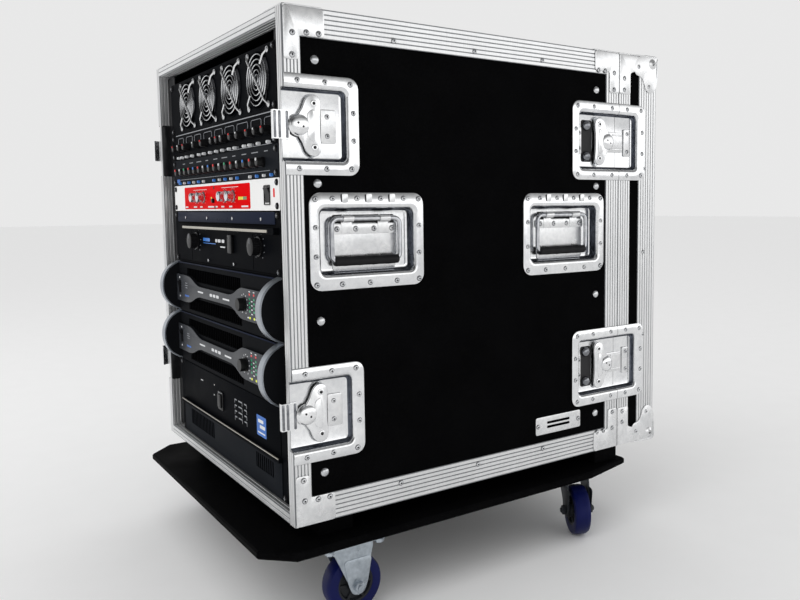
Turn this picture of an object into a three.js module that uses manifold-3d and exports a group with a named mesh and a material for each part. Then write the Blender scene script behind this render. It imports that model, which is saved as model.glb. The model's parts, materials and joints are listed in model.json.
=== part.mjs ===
// Wheeled rack flight case with its rack units fitted, millimetres, +Z up.
// Model space while building: X across, Y back from the front opening, Z up from the floor.
import * as THREE from 'three';
import { mergeVertices } from 'three/addons/utils/BufferGeometryUtils.js';
import Module from 'manifold-3d';

const wasm = await Module();
wasm.setup();

// ---------------------------------------------------------------- driving sizes
const CLEAR = 0.3;             // air left between touching pieces
const CASE_W = 578;            // case width outside the edges
const CASE_H = 670;            // case height without the dolly
const CASE_D = 595;            // body depth, opening to rear seam
const LID_START = 595.5;       // front face of the rear lid
const LID_END = 687;           // rear face of the rear lid
const SIDE_T = 18;             // side wall thickness at the edge frames
const TOP_T = 14;              // top and bottom wall thickness at the edge frames
const SKIN = 1.5;              // thickness of the aluminium angles
const FRONT_BAND = 24;         // depth of the front edge frame
const REAR_BAND = 29;          // depth of the rear edge frame
const SEAM_BAND = 28;          // depth of the lid seam frame
const LONG_BAND = 37;          // leg of the lengthwise angles
const LID_EDGE = 42;           // leg of the lid's rear angles
const PANEL_T = 11.7;          // laminated side panel thickness
const FIELD_DROP = 0.6;        // top panel between the angles, below their tops

const WHEEL_R = 42;
const WHEEL_W = 30;
const AXLE_R = 4;
const CASTER_H = 108;
const BOARD_T = 12;
const BOARD_W = 600;
const BOARD_Y0 = -43;
const BOARD_Y1 = 628;
const RISER_H = 30;
const CASE_Z = CASTER_H + BOARD_T + RISER_H;

const RACK_U = 44.45;
const RACK_W = 482.6;
const RACK_Z = CASE_Z + TOP_T;
const FACE_Y = 11;             // front of the rack ears
const EAR_T = 3;
const CHASSIS_W = 438;
const RAIL_T = 2;

const PULL_Y = [117, 474.5];   // recessed handle centres
const PULL_Z = CASE_Z + 373;
const PULL_PLATE = [174, 129];
const PULL_PAN = [142, 86];
const PAN_DEPTH = 15;
const PAN_T = 1.2;
const BAIL_AXIS_X = 281.6;
const BAIL_AXIS_Z = PULL_Z + 30;
const BAIL_R = 4;
const GRIP_R = 6.7;
const BAIL_HALF = 52;
const BAIL_DROP = 57;

const LATCH_Z = [CASE_Z + 523, CASE_Z + 147];
const LATCH_HALF = 46.5;       // half height of the latch pocket
const LATCH_DEEP = 9;
const LATCH_PIVOT = 22;        // pivot distance from the seam or opening
const LATCH_FRONT_END = 87;
const LATCH_REAR_START = 505;
const LATCH_LID_END = 640;

const FAN_X = [-142, -35, 72, 179];
const FAN_R = 36;
const FIN_T = 16;               // thickness of the power amplifier end fins
const ROCKER_AXIS = 3;          // hinge line behind the rim of the well
const ROCKER_TILT = 9;
const BONE_Y = FACE_Y - 7;      // front of the power amplifier fascia
const BONE_LOBE = 23.5;
const BONE_WAIST = 8.5;
const BONE_DROP = 2;
const RED_KNOBS = [-113, -78, 27, 63];
const CASTER_X = 262;
const CASTER_Y = 93;
const SWIVEL_X = 233;
const SWIVEL_Y = 544;
const SWIVEL_TRAIL = 28;
const SWIVEL_YAW = { right: 64, left: 205 };

const HW = CASE_W / 2;
const TOP = CASE_Z + CASE_H;

// ---------------------------------------------------------------- colours
const look = (color, roughness, metalness) => ({ color, roughness, metalness });
const LAMINATE = look(0x0b0b0c, 0.55, 0);
const ALUMINIUM = look(0xc9cbcd, 0.35, 0.9);
const CHROME = look(0xdfe2e4, 0.15, 1);
const ZINC = look(0xaeb6bd, 0.4, 0.9);
const BLACK_STEEL = look(0x141416, 0.5, 0.4);
const BLACK_PLASTIC = look(0x0d0d0f, 0.45, 0);
const GREY_PAINT = look(0x4a4e53, 0.5, 0.3);
const DARK_PAINT = look(0x1d1f22, 0.5, 0.3);
const WHITE_PAINT = look(0xe9e9e6, 0.4, 0);
const TYRE_BLUE = look(0x101c55, 0.5, 0);

// ---------------------------------------------------------------- solid helpers
/** Closed manifold solid from a three.js geometry. */
function solid(geometry) {
  const bare = geometry.clone();
  bare.deleteAttribute('normal');
  bare.deleteAttribute('uv');
  const merged = mergeVertices(bare, 1e-4);
  return new wasm.Manifold(new wasm.Mesh({
    numProp: 3,
    vertProperties: new Float32Array(merged.attributes.position.array),
    triVerts: new Uint32Array(merged.index.array),
  }));
}

/** three.js geometry from a manifold solid. */
function skin(body) {
  const mesh = body.getMesh();
  const geometry = new THREE.BufferGeometry();
  geometry.setAttribute('position', new THREE.BufferAttribute(mesh.vertProperties, 3));
  geometry.setIndex(new THREE.BufferAttribute(mesh.triVerts, 1));
  const flat = geometry.toNonIndexed();
  flat.computeVertexNormals();
  return flat;
}

/** Box between two corners. */
function box(x0, x1, y0, y1, z0, z1) {
  const g = new THREE.BoxGeometry(x1 - x0, y1 - y0, z1 - z0);
  g.translate((x0 + x1) / 2, (y0 + y1) / 2, (z0 + z1) / 2);
  return solid(g);
}

/** Cylinder along axis 'x', 'y' or 'z' from a to b, centred on the other two values. */
function rod(axis, radius, a, b, c1, c2, sides = 24) {
  const g = new THREE.CylinderGeometry(radius, radius, b - a, sides);
  if (axis === 'x') g.rotateZ(Math.PI / 2).translate((a + b) / 2, c1, c2);
  if (axis === 'y') g.translate(c1, (a + b) / 2, c2);
  if (axis === 'z') g.rotateX(Math.PI / 2).translate(c1, c2, (a + b) / 2);
  return solid(g);
}

/** Rounded rectangle outline centred on the origin. */
function roundRect(w, h, r, steps = 5) {
  const points = [];
  const corners = [[1, 1, 0], [-1, 1, 90], [-1, -1, 180], [1, -1, 270]];
  for (const [sx, sy, from] of corners) {
    for (let i = 0; i <= steps; i++) {
      const a = THREE.MathUtils.degToRad(from + (90 * i) / steps);
      points.push(new THREE.Vector2(sx * (w / 2 - r) + r * Math.cos(a), sy * (h / 2 - r) + r * Math.sin(a)));
    }
  }
  return new THREE.Shape(points);
}

const FACING = {
  x: new THREE.Matrix4().makeBasis(
    new THREE.Vector3(0, 1, 0), new THREE.Vector3(0, 0, 1), new THREE.Vector3(1, 0, 0)),
  y: new THREE.Matrix4().makeBasis(
    new THREE.Vector3(1, 0, 0), new THREE.Vector3(0, 0, 1), new THREE.Vector3(0, -1, 0)),
  z: new THREE.Matrix4(),
};

/** Extruded outline: along +X (shape in Y,Z), towards -Y (shape in X,Z) or along +Z. */
function plate(axis, shape, depth, at, bevel = 0) {
  const g = new THREE.ExtrudeGeometry(shape, {
    depth: depth - 2 * bevel, steps: 1, curveSegments: 6,
    bevelEnabled: bevel > 0, bevelThickness: bevel, bevelSize: bevel, bevelOffset: -bevel,
    bevelSegments: 1,
  });
  g.translate(0, 0, bevel);
  g.applyMatrix4(FACING[axis]);
  g.translate(at[0], at[1], at[2]);
  return solid(g);
}

/** Mirror a solid to the other side of the case. */
const mirrored = (body) => body.mirror([1, 0, 0]);
const union = (parts) => parts.slice(1).reduce((a, b) => a.add(b), parts[0]);
const sided = (body, side) => (side === 'right' ? body : mirrored(body));
const SIDES = ['right', 'left'];

// ---------------------------------------------------------------- parts collector
const group = new THREE.Group();
group.name = 'rack_effects_unit';

function addPart(name, body, material) {
  const mesh = new THREE.Mesh(skin(body), new THREE.MeshStandardMaterial(material));
  mesh.name = name;
  group.add(mesh);
}

/** Rectangular ring through the case cross section between two depths. */
function ring(y0, y1, side, top) {
  return box(-HW, HW, y0, y1, CASE_Z, TOP)
    .subtract(box(-HW + side, HW - side, y0 - 1, y1 + 1, CASE_Z + top, TOP - top));
}

/** Pocket cut for one latch on the right side, between two depths. */
function latchPocket(y0, y1, z) {
  return box(HW - LATCH_DEEP, HW + 5, y0, y1, z - LATCH_HALF, z + LATCH_HALF);
}

function cutLatches(body, y0, y1) {
  let out = body;
  for (const z of LATCH_Z) {
    const pocket = latchPocket(y0, y1, z);
    out = out.subtract(pocket).subtract(mirrored(pocket));
  }
  return out;
}

// ---------------------------------------------------------------- case body
function sidePanel() {
  const y0 = FRONT_BAND + CLEAR;
  const y1 = CASE_D - REAR_BAND - CLEAR;
  const outer = HW - SKIN - CLEAR;
  let body = box(outer - PANEL_T, outer, y0, y1, CASE_Z + SKIN + CLEAR, TOP - SKIN - CLEAR);
  for (const y of PULL_Y) {
    const hole = roundRect(PULL_PAN[0] + 2 * PAN_T + 2 * CLEAR, PULL_PAN[1] + 2 * PAN_T + 2 * CLEAR, 9);
    body = body.subtract(plate('x', hole, 40, [HW - 30, y, PULL_Z]));
  }
  for (const z of LATCH_Z) {
    body = body.subtract(latchPocket(y0 - 1, LATCH_FRONT_END, z));
    body = body.subtract(latchPocket(LATCH_REAR_START, y1 + 1, z));
  }
  return body;
}

function caseBody() {
  const y0 = FRONT_BAND + CLEAR;
  const y1 = CASE_D - REAR_BAND - CLEAR;
  const inner = HW - SKIN - CLEAR - PANEL_T - CLEAR;
  for (const side of SIDES) addPart(`${side}_side_panel`, sided(sidePanel(), side), LAMINATE);
  const field = HW - LONG_BAND - CLEAR;
  const top = box(-inner, inner, y0, y1, TOP - TOP_T, TOP - SKIN - CLEAR)
    .add(box(-field, field, y0, y1, TOP - TOP_T, TOP - FIELD_DROP));
  addPart('top_panel', top, LAMINATE);
  addPart('bottom_panel', box(-inner, inner, y0, y1, CASE_Z + SKIN + CLEAR, CASE_Z + TOP_T), LAMINATE);

  const front = cutLatches(ring(0, FRONT_BAND, SIDE_T, TOP_T), -5, FRONT_BAND + 5);
  addPart('front_edge_frame', front, ALUMINIUM);

  let edges = ring(CASE_D - REAR_BAND, CASE_D, SIDE_T, TOP_T);
  const run = [FRONT_BAND + CLEAR, CASE_D - REAR_BAND + 1];
  for (const sx of [1, -1]) {
    for (const [zo, sz] of [[TOP, -1], [CASE_Z, 1]]) {
      const span = (a, b) => [Math.min(a, b), Math.max(a, b)];
      const leg = box(...span(sx * (HW - SKIN), sx * HW), ...run, ...span(zo, zo + sz * LONG_BAND));
      const cap = box(...span(sx * (HW - LONG_BAND), sx * HW), ...run, ...span(zo, zo + sz * SKIN));
      edges = edges.add(leg).add(cap);
    }
  }
  addPart('body_edge_angles', cutLatches(edges, LATCH_REAR_START, CASE_D + 5), ALUMINIUM);

  const z0 = CASE_Z + TOP_T + 4;
  const z1 = TOP - TOP_T - 4;
  const wall = HW - SIDE_T - CLEAR;
  const railY = FACE_Y + EAR_T + CLEAR;
  for (const side of SIDES) {
    const rail = box(229, wall, railY, railY + RAIL_T, z0, z1)
      .add(box(wall - RAIL_T, wall, railY, railY + 52, z0, z1));
    addPart(`rack_rail_${side}`, sided(rail, side), BLACK_STEEL);
  }
}

// ---------------------------------------------------------------- rear lid
function rearLid() {
  const seamEnd = LID_START + SEAM_BAND;
  const seam = cutLatches(ring(LID_START, seamEnd, SIDE_T, TOP_T), LID_START - 5, LATCH_LID_END);
  addPart('lid_seam_frame', seam, ALUMINIUM);

  const out = HW - SKIN - CLEAR;
  const low = CASE_Z + SKIN + CLEAR;
  const high = TOP - SKIN - CLEAR;
  const back = LID_END - SKIN - CLEAR;
  const tray = box(-out, out, seamEnd + CLEAR, back, low, high)
    .subtract(box(-out + 10, out - 10, seamEnd - 5, back - 9, low + 10, high - 10));
  addPart('lid_tray', cutLatches(tray, LID_START, LATCH_LID_END), LAMINATE);

  const shell = box(-HW, HW, LID_END - LID_EDGE, LID_END, CASE_Z, TOP);
  const hollow = box(-HW + SKIN, HW - SKIN, LID_END - LID_EDGE - 1, LID_END - SKIN,
    CASE_Z + SKIN, TOP - SKIN);
  const window = box(-HW + LID_EDGE, HW - LID_EDGE, LID_END - 10, LID_END + 5,
    CASE_Z + LID_EDGE, TOP - LID_EDGE);
  addPart('lid_rear_angles', shell.subtract(hollow).subtract(window), ALUMINIUM);
}

// ---------------------------------------------------------------- recessed handles
function handleDish(y) {
  const flange = plate('x', roundRect(PULL_PLATE[0], PULL_PLATE[1], 14), SKIN, [HW - SKIN, y, PULL_Z]);
  const outside = roundRect(PULL_PAN[0] + 2 * PAN_T, PULL_PAN[1] + 2 * PAN_T, 9);
  const pan = plate('x', outside, PAN_DEPTH + PAN_T, [HW - PAN_DEPTH - PAN_T, y, PULL_Z]);
  const inside = roundRect(PULL_PAN[0], PULL_PAN[1], 8);
  return flange.add(pan).subtract(plate('x', inside, PAN_DEPTH + 5, [HW - PAN_DEPTH, y, PULL_Z]));
}

function bail(y) {
  const x = BAIL_AXIS_X;
  const z = BAIL_AXIS_Z;
  const parts = [rod('y', BAIL_R, y - BAIL_HALF, y + BAIL_HALF, x, z, 12)];
  for (const s of [-1, 1]) {
    parts.push(rod('z', BAIL_R, z - BAIL_DROP, z, x, y + s * BAIL_HALF, 12));
    parts.push(solid(new THREE.SphereGeometry(BAIL_R, 12, 6).translate(x, y + s * BAIL_HALF, z)));
  }
  parts.push(rod('y', GRIP_R, y - BAIL_HALF - 4, y + BAIL_HALF + 4, x, z - BAIL_DROP, 16));
  return union(parts);
}

function handles() {
  const names = ['front', 'rear'];
  for (const side of SIDES) {
    PULL_Y.forEach((y, i) => {
      addPart(`handle_dish_${side}_${names[i]}`, sided(handleDish(y), side), CHROME);
      addPart(`handle_bail_${side}_${names[i]}`, sided(bail(y), side), BLACK_PLASTIC);
    });
  }
}

// ---------------------------------------------------------------- twist latches
/** Turning wing on the right side; inboard is +1 when the body lies behind the pivot. */
function latchWing(y, z, inboard) {
  const boss = rod('x', 11, HW - LATCH_DEEP + CLEAR, HW - 1, y, z, 18);
  const outline = [[-4, -9], [12, -36], [26, -34], [29, -24], [24, -8], [24, 8],
    [29, 24], [26, 34], [12, 36], [-4, 9]];
  const points = outline.map(([u, v]) => new THREE.Vector2(u * inboard, v));
  if (inboard < 0) points.reverse();
  const wing = plate('x', new THREE.Shape(points), 3, [HW - 5, y, z], 0.6);
  return boss.add(wing);
}

/** Sliding hook plate whose claw stands in front of the opening. */
function latchHook(z) {
  const x0 = HW - LATCH_DEEP + CLEAR;
  return box(x0, x0 + 2.6, -12, 9.5, z - 18, z + 18).add(box(x0 - 4, x0 + 2.6, -12, -8.5, z - 18, z + 18));
}

function latches() {
  const levels = ['top', 'bottom'];
  for (const side of SIDES) {
    LATCH_Z.forEach((z, i) => {
      addPart(`latch_wing_${side}_front_${levels[i]}`, sided(latchWing(LATCH_PIVOT, z, 1), side), CHROME);
      addPart(`latch_hook_${side}_front_${levels[i]}`, sided(latchHook(z), side), CHROME);
      const rear = latchWing(CASE_D - LATCH_PIVOT, z, -1);
      addPart(`latch_wing_${side}_rear_${levels[i]}`, sided(rear, side), CHROME);
    });
  }
}

// ---------------------------------------------------------------- dolly and casters
function dolly() {
  const points = [[-300, -3], [-260, BOARD_Y0], [260, BOARD_Y0], [300, -3],
    [300, 528], [277, BOARD_Y1], [-277, BOARD_Y1], [-300, 528]];
  const outline = new THREE.Shape(points.map(([x, y]) => new THREE.Vector2(x, y)));
  addPart('dolly_board', plate('z', outline, BOARD_T, [0, 0, CASTER_H], 2.5), BLACK_PLASTIC);
  const z0 = CASTER_H + BOARD_T + CLEAR;
  const z1 = CASE_Z - CLEAR;
  const rails = box(-265, 265, 45, 95, z0, z1).add(box(-272, 272, 560, 612, z0, z1))
    .add(box(-30, 30, 90, 565, z0, z1));
  addPart('dolly_riser', rails, BLACK_PLASTIC);
}

/** Wheel with its axle along X, centred on x and y. */
function wheelBody(x, y) {
  const half = WHEEL_W / 2;
  const profile = [[AXLE_R + 0.5, -half - 1], [13, -half - 1], [WHEEL_R - 4, -half + 1],
    [WHEEL_R, -half + 7], [WHEEL_R, half - 7], [WHEEL_R - 4, half - 1],
    [13, half + 1], [AXLE_R + 0.5, half + 1], [AXLE_R + 0.5, -half - 1]];
  const g = new THREE.LatheGeometry(profile.map(([r, h]) => new THREE.Vector2(r, h)), 28);
  g.rotateZ(Math.PI / 2).translate(x, y, WHEEL_R);
  return solid(g);
}

/** Two cheeks, an axle and the bridge above the wheel; the fork stands at x, y. */
function forkBody(x, y, topY, topHalf) {
  const half = WHEEL_W / 2 + 2.2;
  const crown = CASTER_H - 12;
  const parts = [];
  for (const s of [-1, 1]) {
    const pts = [[topY - topHalf, crown], [topY + topHalf, crown], [y + 13, WHEEL_R + 2],
      [y + 9, WHEEL_R - 9], [y, WHEEL_R - 13], [y - 9, WHEEL_R - 9], [y - 13, WHEEL_R + 2]];
    const shape = new THREE.Shape(pts.map(([a, b]) => new THREE.Vector2(a, b)));
    parts.push(plate('x', shape, 3, [s > 0 ? x + half : x - half - 3, 0, 0]));
  }
  parts.push(box(x - half - 3, x + half + 3, topY - topHalf, topY + topHalf, crown - 3, crown));
  parts.push(rod('x', AXLE_R, x - half - 8, x + half + 8, y, WHEEL_R, 16));
  return union(parts);
}

/** Turn a solid about a vertical line. */
function yaw(body, degrees, x, y) {
  return body.translate([-x, -y, 0]).rotate([0, 0, degrees]).translate([x, y, 0]);
}

function casters() {
  const plateTop = CASTER_H - CLEAR;
  for (const side of SIDES) {
    const sx = side === 'right' ? 1 : -1;
    const x = sx * CASTER_X;
    const rigid = forkBody(x, CASTER_Y, CASTER_Y - 6, 30)
      .add(box(x - 30, x + 30, CASTER_Y - 50, CASTER_Y + 38, plateTop - 3, plateTop))
      .add(box(x - 20, x + 20, CASTER_Y - 36, CASTER_Y + 24, CASTER_H - 13, plateTop - 1));
    addPart(`caster_fork_${side}_front`, rigid, ZINC);
    addPart(`caster_wheel_${side}_front`, wheelBody(x, CASTER_Y), TYRE_BLUE);

    const px = sx * SWIVEL_X;
    const trail = SWIVEL_Y - SWIVEL_TRAIL;
    const neck = rod('z', 21, CASTER_H - 13, plateTop, px, SWIVEL_Y, 20);
    const swivel = forkBody(px, trail, SWIVEL_Y - 6, 26).add(neck);
    const turn = SWIVEL_YAW[side];
    addPart(`caster_fork_${side}_rear`, yaw(swivel, turn, px, SWIVEL_Y), ZINC);
    addPart(`caster_wheel_${side}_rear`, yaw(wheelBody(px, trail), turn, px, SWIVEL_Y), TYRE_BLUE);
  }
}

// ---------------------------------------------------------------- rack units
/** Face plate and chassis of a rack unit; from counts rack spaces above the floor of the rack. */
function rackUnit(from, spaces, depth) {
  const z0 = RACK_Z + from * RACK_U + 0.4;
  const z1 = RACK_Z + (from + spaces) * RACK_U - 0.4;
  const face = plate('y', roundRect(RACK_W, z1 - z0, 2, 2), EAR_T, [0, FACE_Y + EAR_T, (z0 + z1) / 2]);
  return face.add(box(-CHASSIS_W / 2, CHASSIS_W / 2, FACE_Y + 1, FACE_Y + depth, z0 + 1, z1 - 1));
}

const unitMid = (from, spaces) => RACK_Z + (from + spaces / 2) * RACK_U;

/** Curved end fin of a power amplifier, a D standing forward of the ear. */
function endFin(mid) {
  const reach = FACE_Y + 21;
  const shape = new THREE.Shape();
  shape.moveTo(-1, -44);
  shape.bezierCurveTo(reach * 0.75, -36, reach, -18, reach, 0);
  shape.bezierCurveTo(reach, 18, reach * 0.75, 36, -1, 44);
  shape.closePath();
  const fin = plate('x', shape, FIN_T, [0, 0, 0]);
  return fin.mirror([0, 1, 0]).translate([RACK_W / 2 - FIN_T, FACE_Y, mid]);
}

function powerAmp(from) {
  const mid = unitMid(from, 2);
  let body = rackUnit(from, 2, 400);
  const low = mid - BONE_DROP;
  const bone = new THREE.Shape();
  bone.moveTo(-224, -BONE_LOBE);
  bone.lineTo(-168, -BONE_LOBE);
  bone.bezierCurveTo(-130, -BONE_LOBE, -122, -BONE_WAIST, -84, -BONE_WAIST);
  bone.lineTo(44, -BONE_WAIST);
  bone.bezierCurveTo(78, -BONE_WAIST, 84, -BONE_LOBE, 112, -BONE_LOBE);
  bone.lineTo(224, -BONE_LOBE);
  bone.lineTo(224, BONE_LOBE);
  bone.lineTo(112, BONE_LOBE);
  bone.bezierCurveTo(84, BONE_LOBE, 78, BONE_WAIST, 44, BONE_WAIST);
  bone.lineTo(-84, BONE_WAIST);
  bone.bezierCurveTo(-122, BONE_WAIST, -130, BONE_LOBE, -168, BONE_LOBE);
  bone.lineTo(-224, BONE_LOBE);
  bone.closePath();
  body = body.add(plate('y', bone, 8, [0, FACE_Y + 1, low]));
  body = body.add(box(-224, 224, FACE_Y - 3, FACE_Y + 1, mid - 43.5, mid + 43.5)
    .subtract(box(-176, 90, FACE_Y - 5, FACE_Y, low + BONE_LOBE - 9, mid + 34))
    .subtract(box(-170, 92, FACE_Y - 5, FACE_Y, mid - 38, low - BONE_LOBE + 9)));
  body = body.add(endFin(mid)).add(mirrored(endFin(mid)));
  return body.subtract(rockerHole(-205, mid, BONE_Y));
}

/** Square well that takes one rocker; front is the depth of its rim. */
function rockerHole(x, z, front) {
  return box(x - 8.3, x + 8.3, front - 1, front + 7, z - 11.3, z + 11.3);
}

/** Rocker cap on a hinge line across the unit; front is the rim of its well. */
function rocker(x, z, front) {
  const shape = new THREE.Shape([[-2.6, -10.2], [-1.2, 0], [-2.6, 10.2], [4.2, 9], [5.4, 0], [4.2, -9]]
    .reverse().map(([a, b]) => new THREE.Vector2(a, b)));
  return plate('x', shape, 15.6, [x - 7.8, front + 0.6, z])
    .translate([0, -front - ROCKER_AXIS, -z]).rotate([ROCKER_TILT, 0, 0])
    .translate([0, front + ROCKER_AXIS, z]);
}

/** Turned knob standing on the face at x, z. */
function knob(x, z, radius, length, front) {
  const profile = [[0, 0], [radius, 0], [radius * 0.9, length * 0.85], [radius * 0.75, length], [0, length]];
  const g = new THREE.LatheGeometry(profile.map(([r, h]) => new THREE.Vector2(r, h)), 18);
  g.rotateX(Math.PI).translate(x, front, z);
  return solid(g);
}

function fanPanel() {
  const mid = unitMid(12, 2);
  let body = plate('y', roundRect(RACK_W, 2 * RACK_U - 0.8, 2, 2), EAR_T, [0, FACE_Y + EAR_T, mid]);
  body = body.add(box(-215, 222, FACE_Y + 1, FACE_Y + 30, mid - 41, mid + 41));
  for (const x of FAN_X) body = body.subtract(rod('y', FAN_R + 2, FACE_Y - 5, FACE_Y + 40, x, mid, 24));
  for (const x of FAN_X) {
    body = body.add(rod('y', 12, FACE_Y + 22, FACE_Y + 30, x, mid, 12));
    body = body.add(box(x - 39, x + 39, FACE_Y + 26, FACE_Y + 30, mid - 2.5, mid + 2.5));
  }
  return body;
}

function fanRotor(x) {
  const mid = unitMid(12, 2);
  let body = rod('y', 14, FACE_Y + 6, FACE_Y + 21, x, mid, 16);
  for (let i = 0; i < 7; i++) {
    const blade = solid(new THREE.BoxGeometry(22, 1.6, 16).rotateX(0.6).translate(23, 0, 0)
      .rotateY((i * 2 * Math.PI) / 7).translate(x, FACE_Y + 13.5, mid));
    body = body.add(blade);
  }
  return body;
}

function gear() {
  addPart('fan_panel', fanPanel(), BLACK_STEEL);
  FAN_X.forEach((x, i) => addPart(`fan_rotor_${i + 1}`, fanRotor(x), DARK_PAINT));
  addPart('patch_unit', rackUnit(11, 1, 220), BLACK_STEEL);
  addPart('line_mixer', rackUnit(10, 1, 220), DARK_PAINT);

  const redMid = unitMid(9, 1);
  addPart('channel_strip', rackUnit(9, 1, 250).subtract(rockerHole(198, redMid, FACE_Y)), WHITE_PAINT);
  RED_KNOBS.forEach((x, i) => {
    addPart(`channel_knob_${i + 1}`, knob(x, redMid, 8.2, 12, FACE_Y - CLEAR), CHROME);
  });
  addPart('channel_rocker', rocker(198, redMid, FACE_Y), BLACK_PLASTIC);

  const topMid = unitMid(7, 2);
  const visor = plate('y', roundRect(430, 9, 3, 3), 9, [20, FACE_Y + 1, topMid + 17]);
  addPart('stereo_amp', rackUnit(7, 2, 380).add(visor), BLACK_STEEL);
  for (const [name, from] of [['upper', 5], ['lower', 3]]) {
    addPart(`power_amp_${name}`, powerAmp(from), DARK_PAINT);
    addPart(`power_amp_${name}_rocker`, rocker(-205, unitMid(from, 2), BONE_Y), BLACK_PLASTIC);
  }
  const ledge = RACK_Z + 58;
  const base = rackUnit(0, 3, 420)
    .add(box(-225, 225, FACE_Y - 6, FACE_Y + 1, ledge - 3, ledge + 3));
  addPart('base_amp', base, DARK_PAINT);
}

// ---------------------------------------------------------------- assemble
caseBody();
rearLid();
handles();
latches();
dolly();
casters();
gear();

const bounds = new THREE.Box3().setFromObject(group);
const centre = bounds.getCenter(new THREE.Vector3());
for (const mesh of group.children) mesh.geometry.translate(-centre.x, -centre.y, -bounds.min.z);

export default group;
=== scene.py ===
"""Looks of the wheeled rack flight case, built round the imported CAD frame.

Every piece is modelled in millimetres of the row frame and scaled to metres when it is finished.
"""
import json
import logging
import math
from dataclasses import dataclass, field
from enum import Enum

import bmesh
import bpy
from mathutils import Matrix, Vector


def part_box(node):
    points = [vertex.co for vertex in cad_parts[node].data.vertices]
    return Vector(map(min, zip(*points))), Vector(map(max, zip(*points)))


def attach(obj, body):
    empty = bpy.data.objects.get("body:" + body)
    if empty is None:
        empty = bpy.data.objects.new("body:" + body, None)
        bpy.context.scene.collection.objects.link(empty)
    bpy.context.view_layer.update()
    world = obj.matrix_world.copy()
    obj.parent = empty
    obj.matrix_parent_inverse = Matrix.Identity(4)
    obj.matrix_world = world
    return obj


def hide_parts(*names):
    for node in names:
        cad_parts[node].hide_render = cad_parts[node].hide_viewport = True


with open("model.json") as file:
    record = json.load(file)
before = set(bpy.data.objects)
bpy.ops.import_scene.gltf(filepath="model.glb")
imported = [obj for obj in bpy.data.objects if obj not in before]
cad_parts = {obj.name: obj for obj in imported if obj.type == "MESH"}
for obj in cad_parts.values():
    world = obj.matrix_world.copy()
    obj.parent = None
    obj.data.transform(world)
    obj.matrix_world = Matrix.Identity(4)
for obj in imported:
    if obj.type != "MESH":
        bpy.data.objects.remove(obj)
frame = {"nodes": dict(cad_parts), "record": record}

Flat = tuple[float, float]
Outline = list[Flat]
Colour = tuple[float, float, float]
Spot = tuple[float, float, float]
Bar = tuple[float, float, float, float]
Body = bpy.types.Object

LOG = logging.getLogger("rack_case")
MM = 0.001
RACK_UNIT = 44.45
RACK_HOLE = 232.55
SIDES = (("right", 1), ("left", -1))


# --- measuring the frame
@dataclass(frozen=True)
class Box:
    """Lowest and highest corner of a CAD node, in millimetres of the row frame."""

    lo: Vector
    hi: Vector

    @staticmethod
    def of(node: str) -> "Box":
        """Measure one CAD node at rest."""
        lo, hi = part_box(node)
        return Box(Vector(lo) * 1000.0, Vector(hi) * 1000.0)

    @property
    def mid(self) -> Vector:
        """Centre of the box."""
        return (self.lo + self.hi) / 2.0


def joint(name: str) -> dict:
    """What the record says of a joint."""
    return next(entry for entry in frame["record"]["behaviour"]["joints"] if entry["name"] == name)


def joint_spot(name: str) -> Vector:
    """Where a joint of the record stands, in millimetres.

    Args:
        name: the joint's name.

    Returns:
        Its position in the row frame.
    """
    return Vector(joint(name)["pos_m"]) * 1000.0


@dataclass(frozen=True)
class Face:
    """A flat working plane on the case: where it is and which ways it runs."""

    origin: Vector
    across: Vector
    up: Vector
    out: Vector

    def at(self, u: float, v: float, d: float = 0.0) -> Vector:
        """Point u across, v up and d out of the plane."""
        return self.origin + self.across * u + self.up * v + self.out * d

    def moved(self, u: float, v: float, d: float = 0.0) -> "Face":
        """The same plane with its origin moved."""
        return Face(self.at(u, v, d), self.across, self.up, self.out)

    def matrix(self) -> Matrix:
        """Matrix that takes (u, v, d) to the row frame."""
        turn = Matrix((self.across, self.up, self.out)).transposed().to_4x4()
        return Matrix.Translation(self.origin) @ turn

    def spot(self, u: float, v: float, d: float = 0.0) -> Matrix:
        """Matrix that takes a part at the origin to a point of the plane."""
        return self.moved(u, v, d).matrix()


CASE = Box.of("front_edge_frame")
LID = Box.of("lid_rear_angles")
X, Y, Z = Vector((1, 0, 0)), Vector((0, 1, 0)), Vector((0, 0, 1))
FRONT_Y, REAR_Y, LID_Y = CASE.lo.y, LID.lo.y, LID.hi.y
HALF, BASE, TOP = CASE.hi.x, CASE.lo.z, CASE.hi.z


def side_face(sign: int) -> Face:
    """Side of the case: u runs back from the opening, v up from the case floor."""
    return Face(Vector((sign * HALF, FRONT_Y, BASE)), Y, Z, X * sign)


def front_face(z: float, y: float) -> Face:
    """Plane that looks out of the opening at a height and depth: u runs to the right side."""
    return Face(Vector((0, y, z)), X, Z, -Y)


TOP_FACE = Face(Vector((0, FRONT_Y, TOP)), X, Y, Z)
REAR_FACE = Face(Vector((0, LID_Y, BASE)), X, Z, Y)
GROUND = Face(Vector(), X, Y, Z)


# --- outlines
def circle(radius: float, sides: int = 16, u: float = 0.0, v: float = 0.0) -> Outline:
    """Regular outline round (u, v)."""
    step = math.tau / sides
    return [(u + radius * math.cos(i * step), v + radius * math.sin(i * step)) for i in range(sides)]


def rect(u0: float, u1: float, v0: float, v1: float) -> Outline:
    """Rectangle between two corners."""
    return [(u1, v1), (u0, v1), (u0, v0), (u1, v0)]


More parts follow.
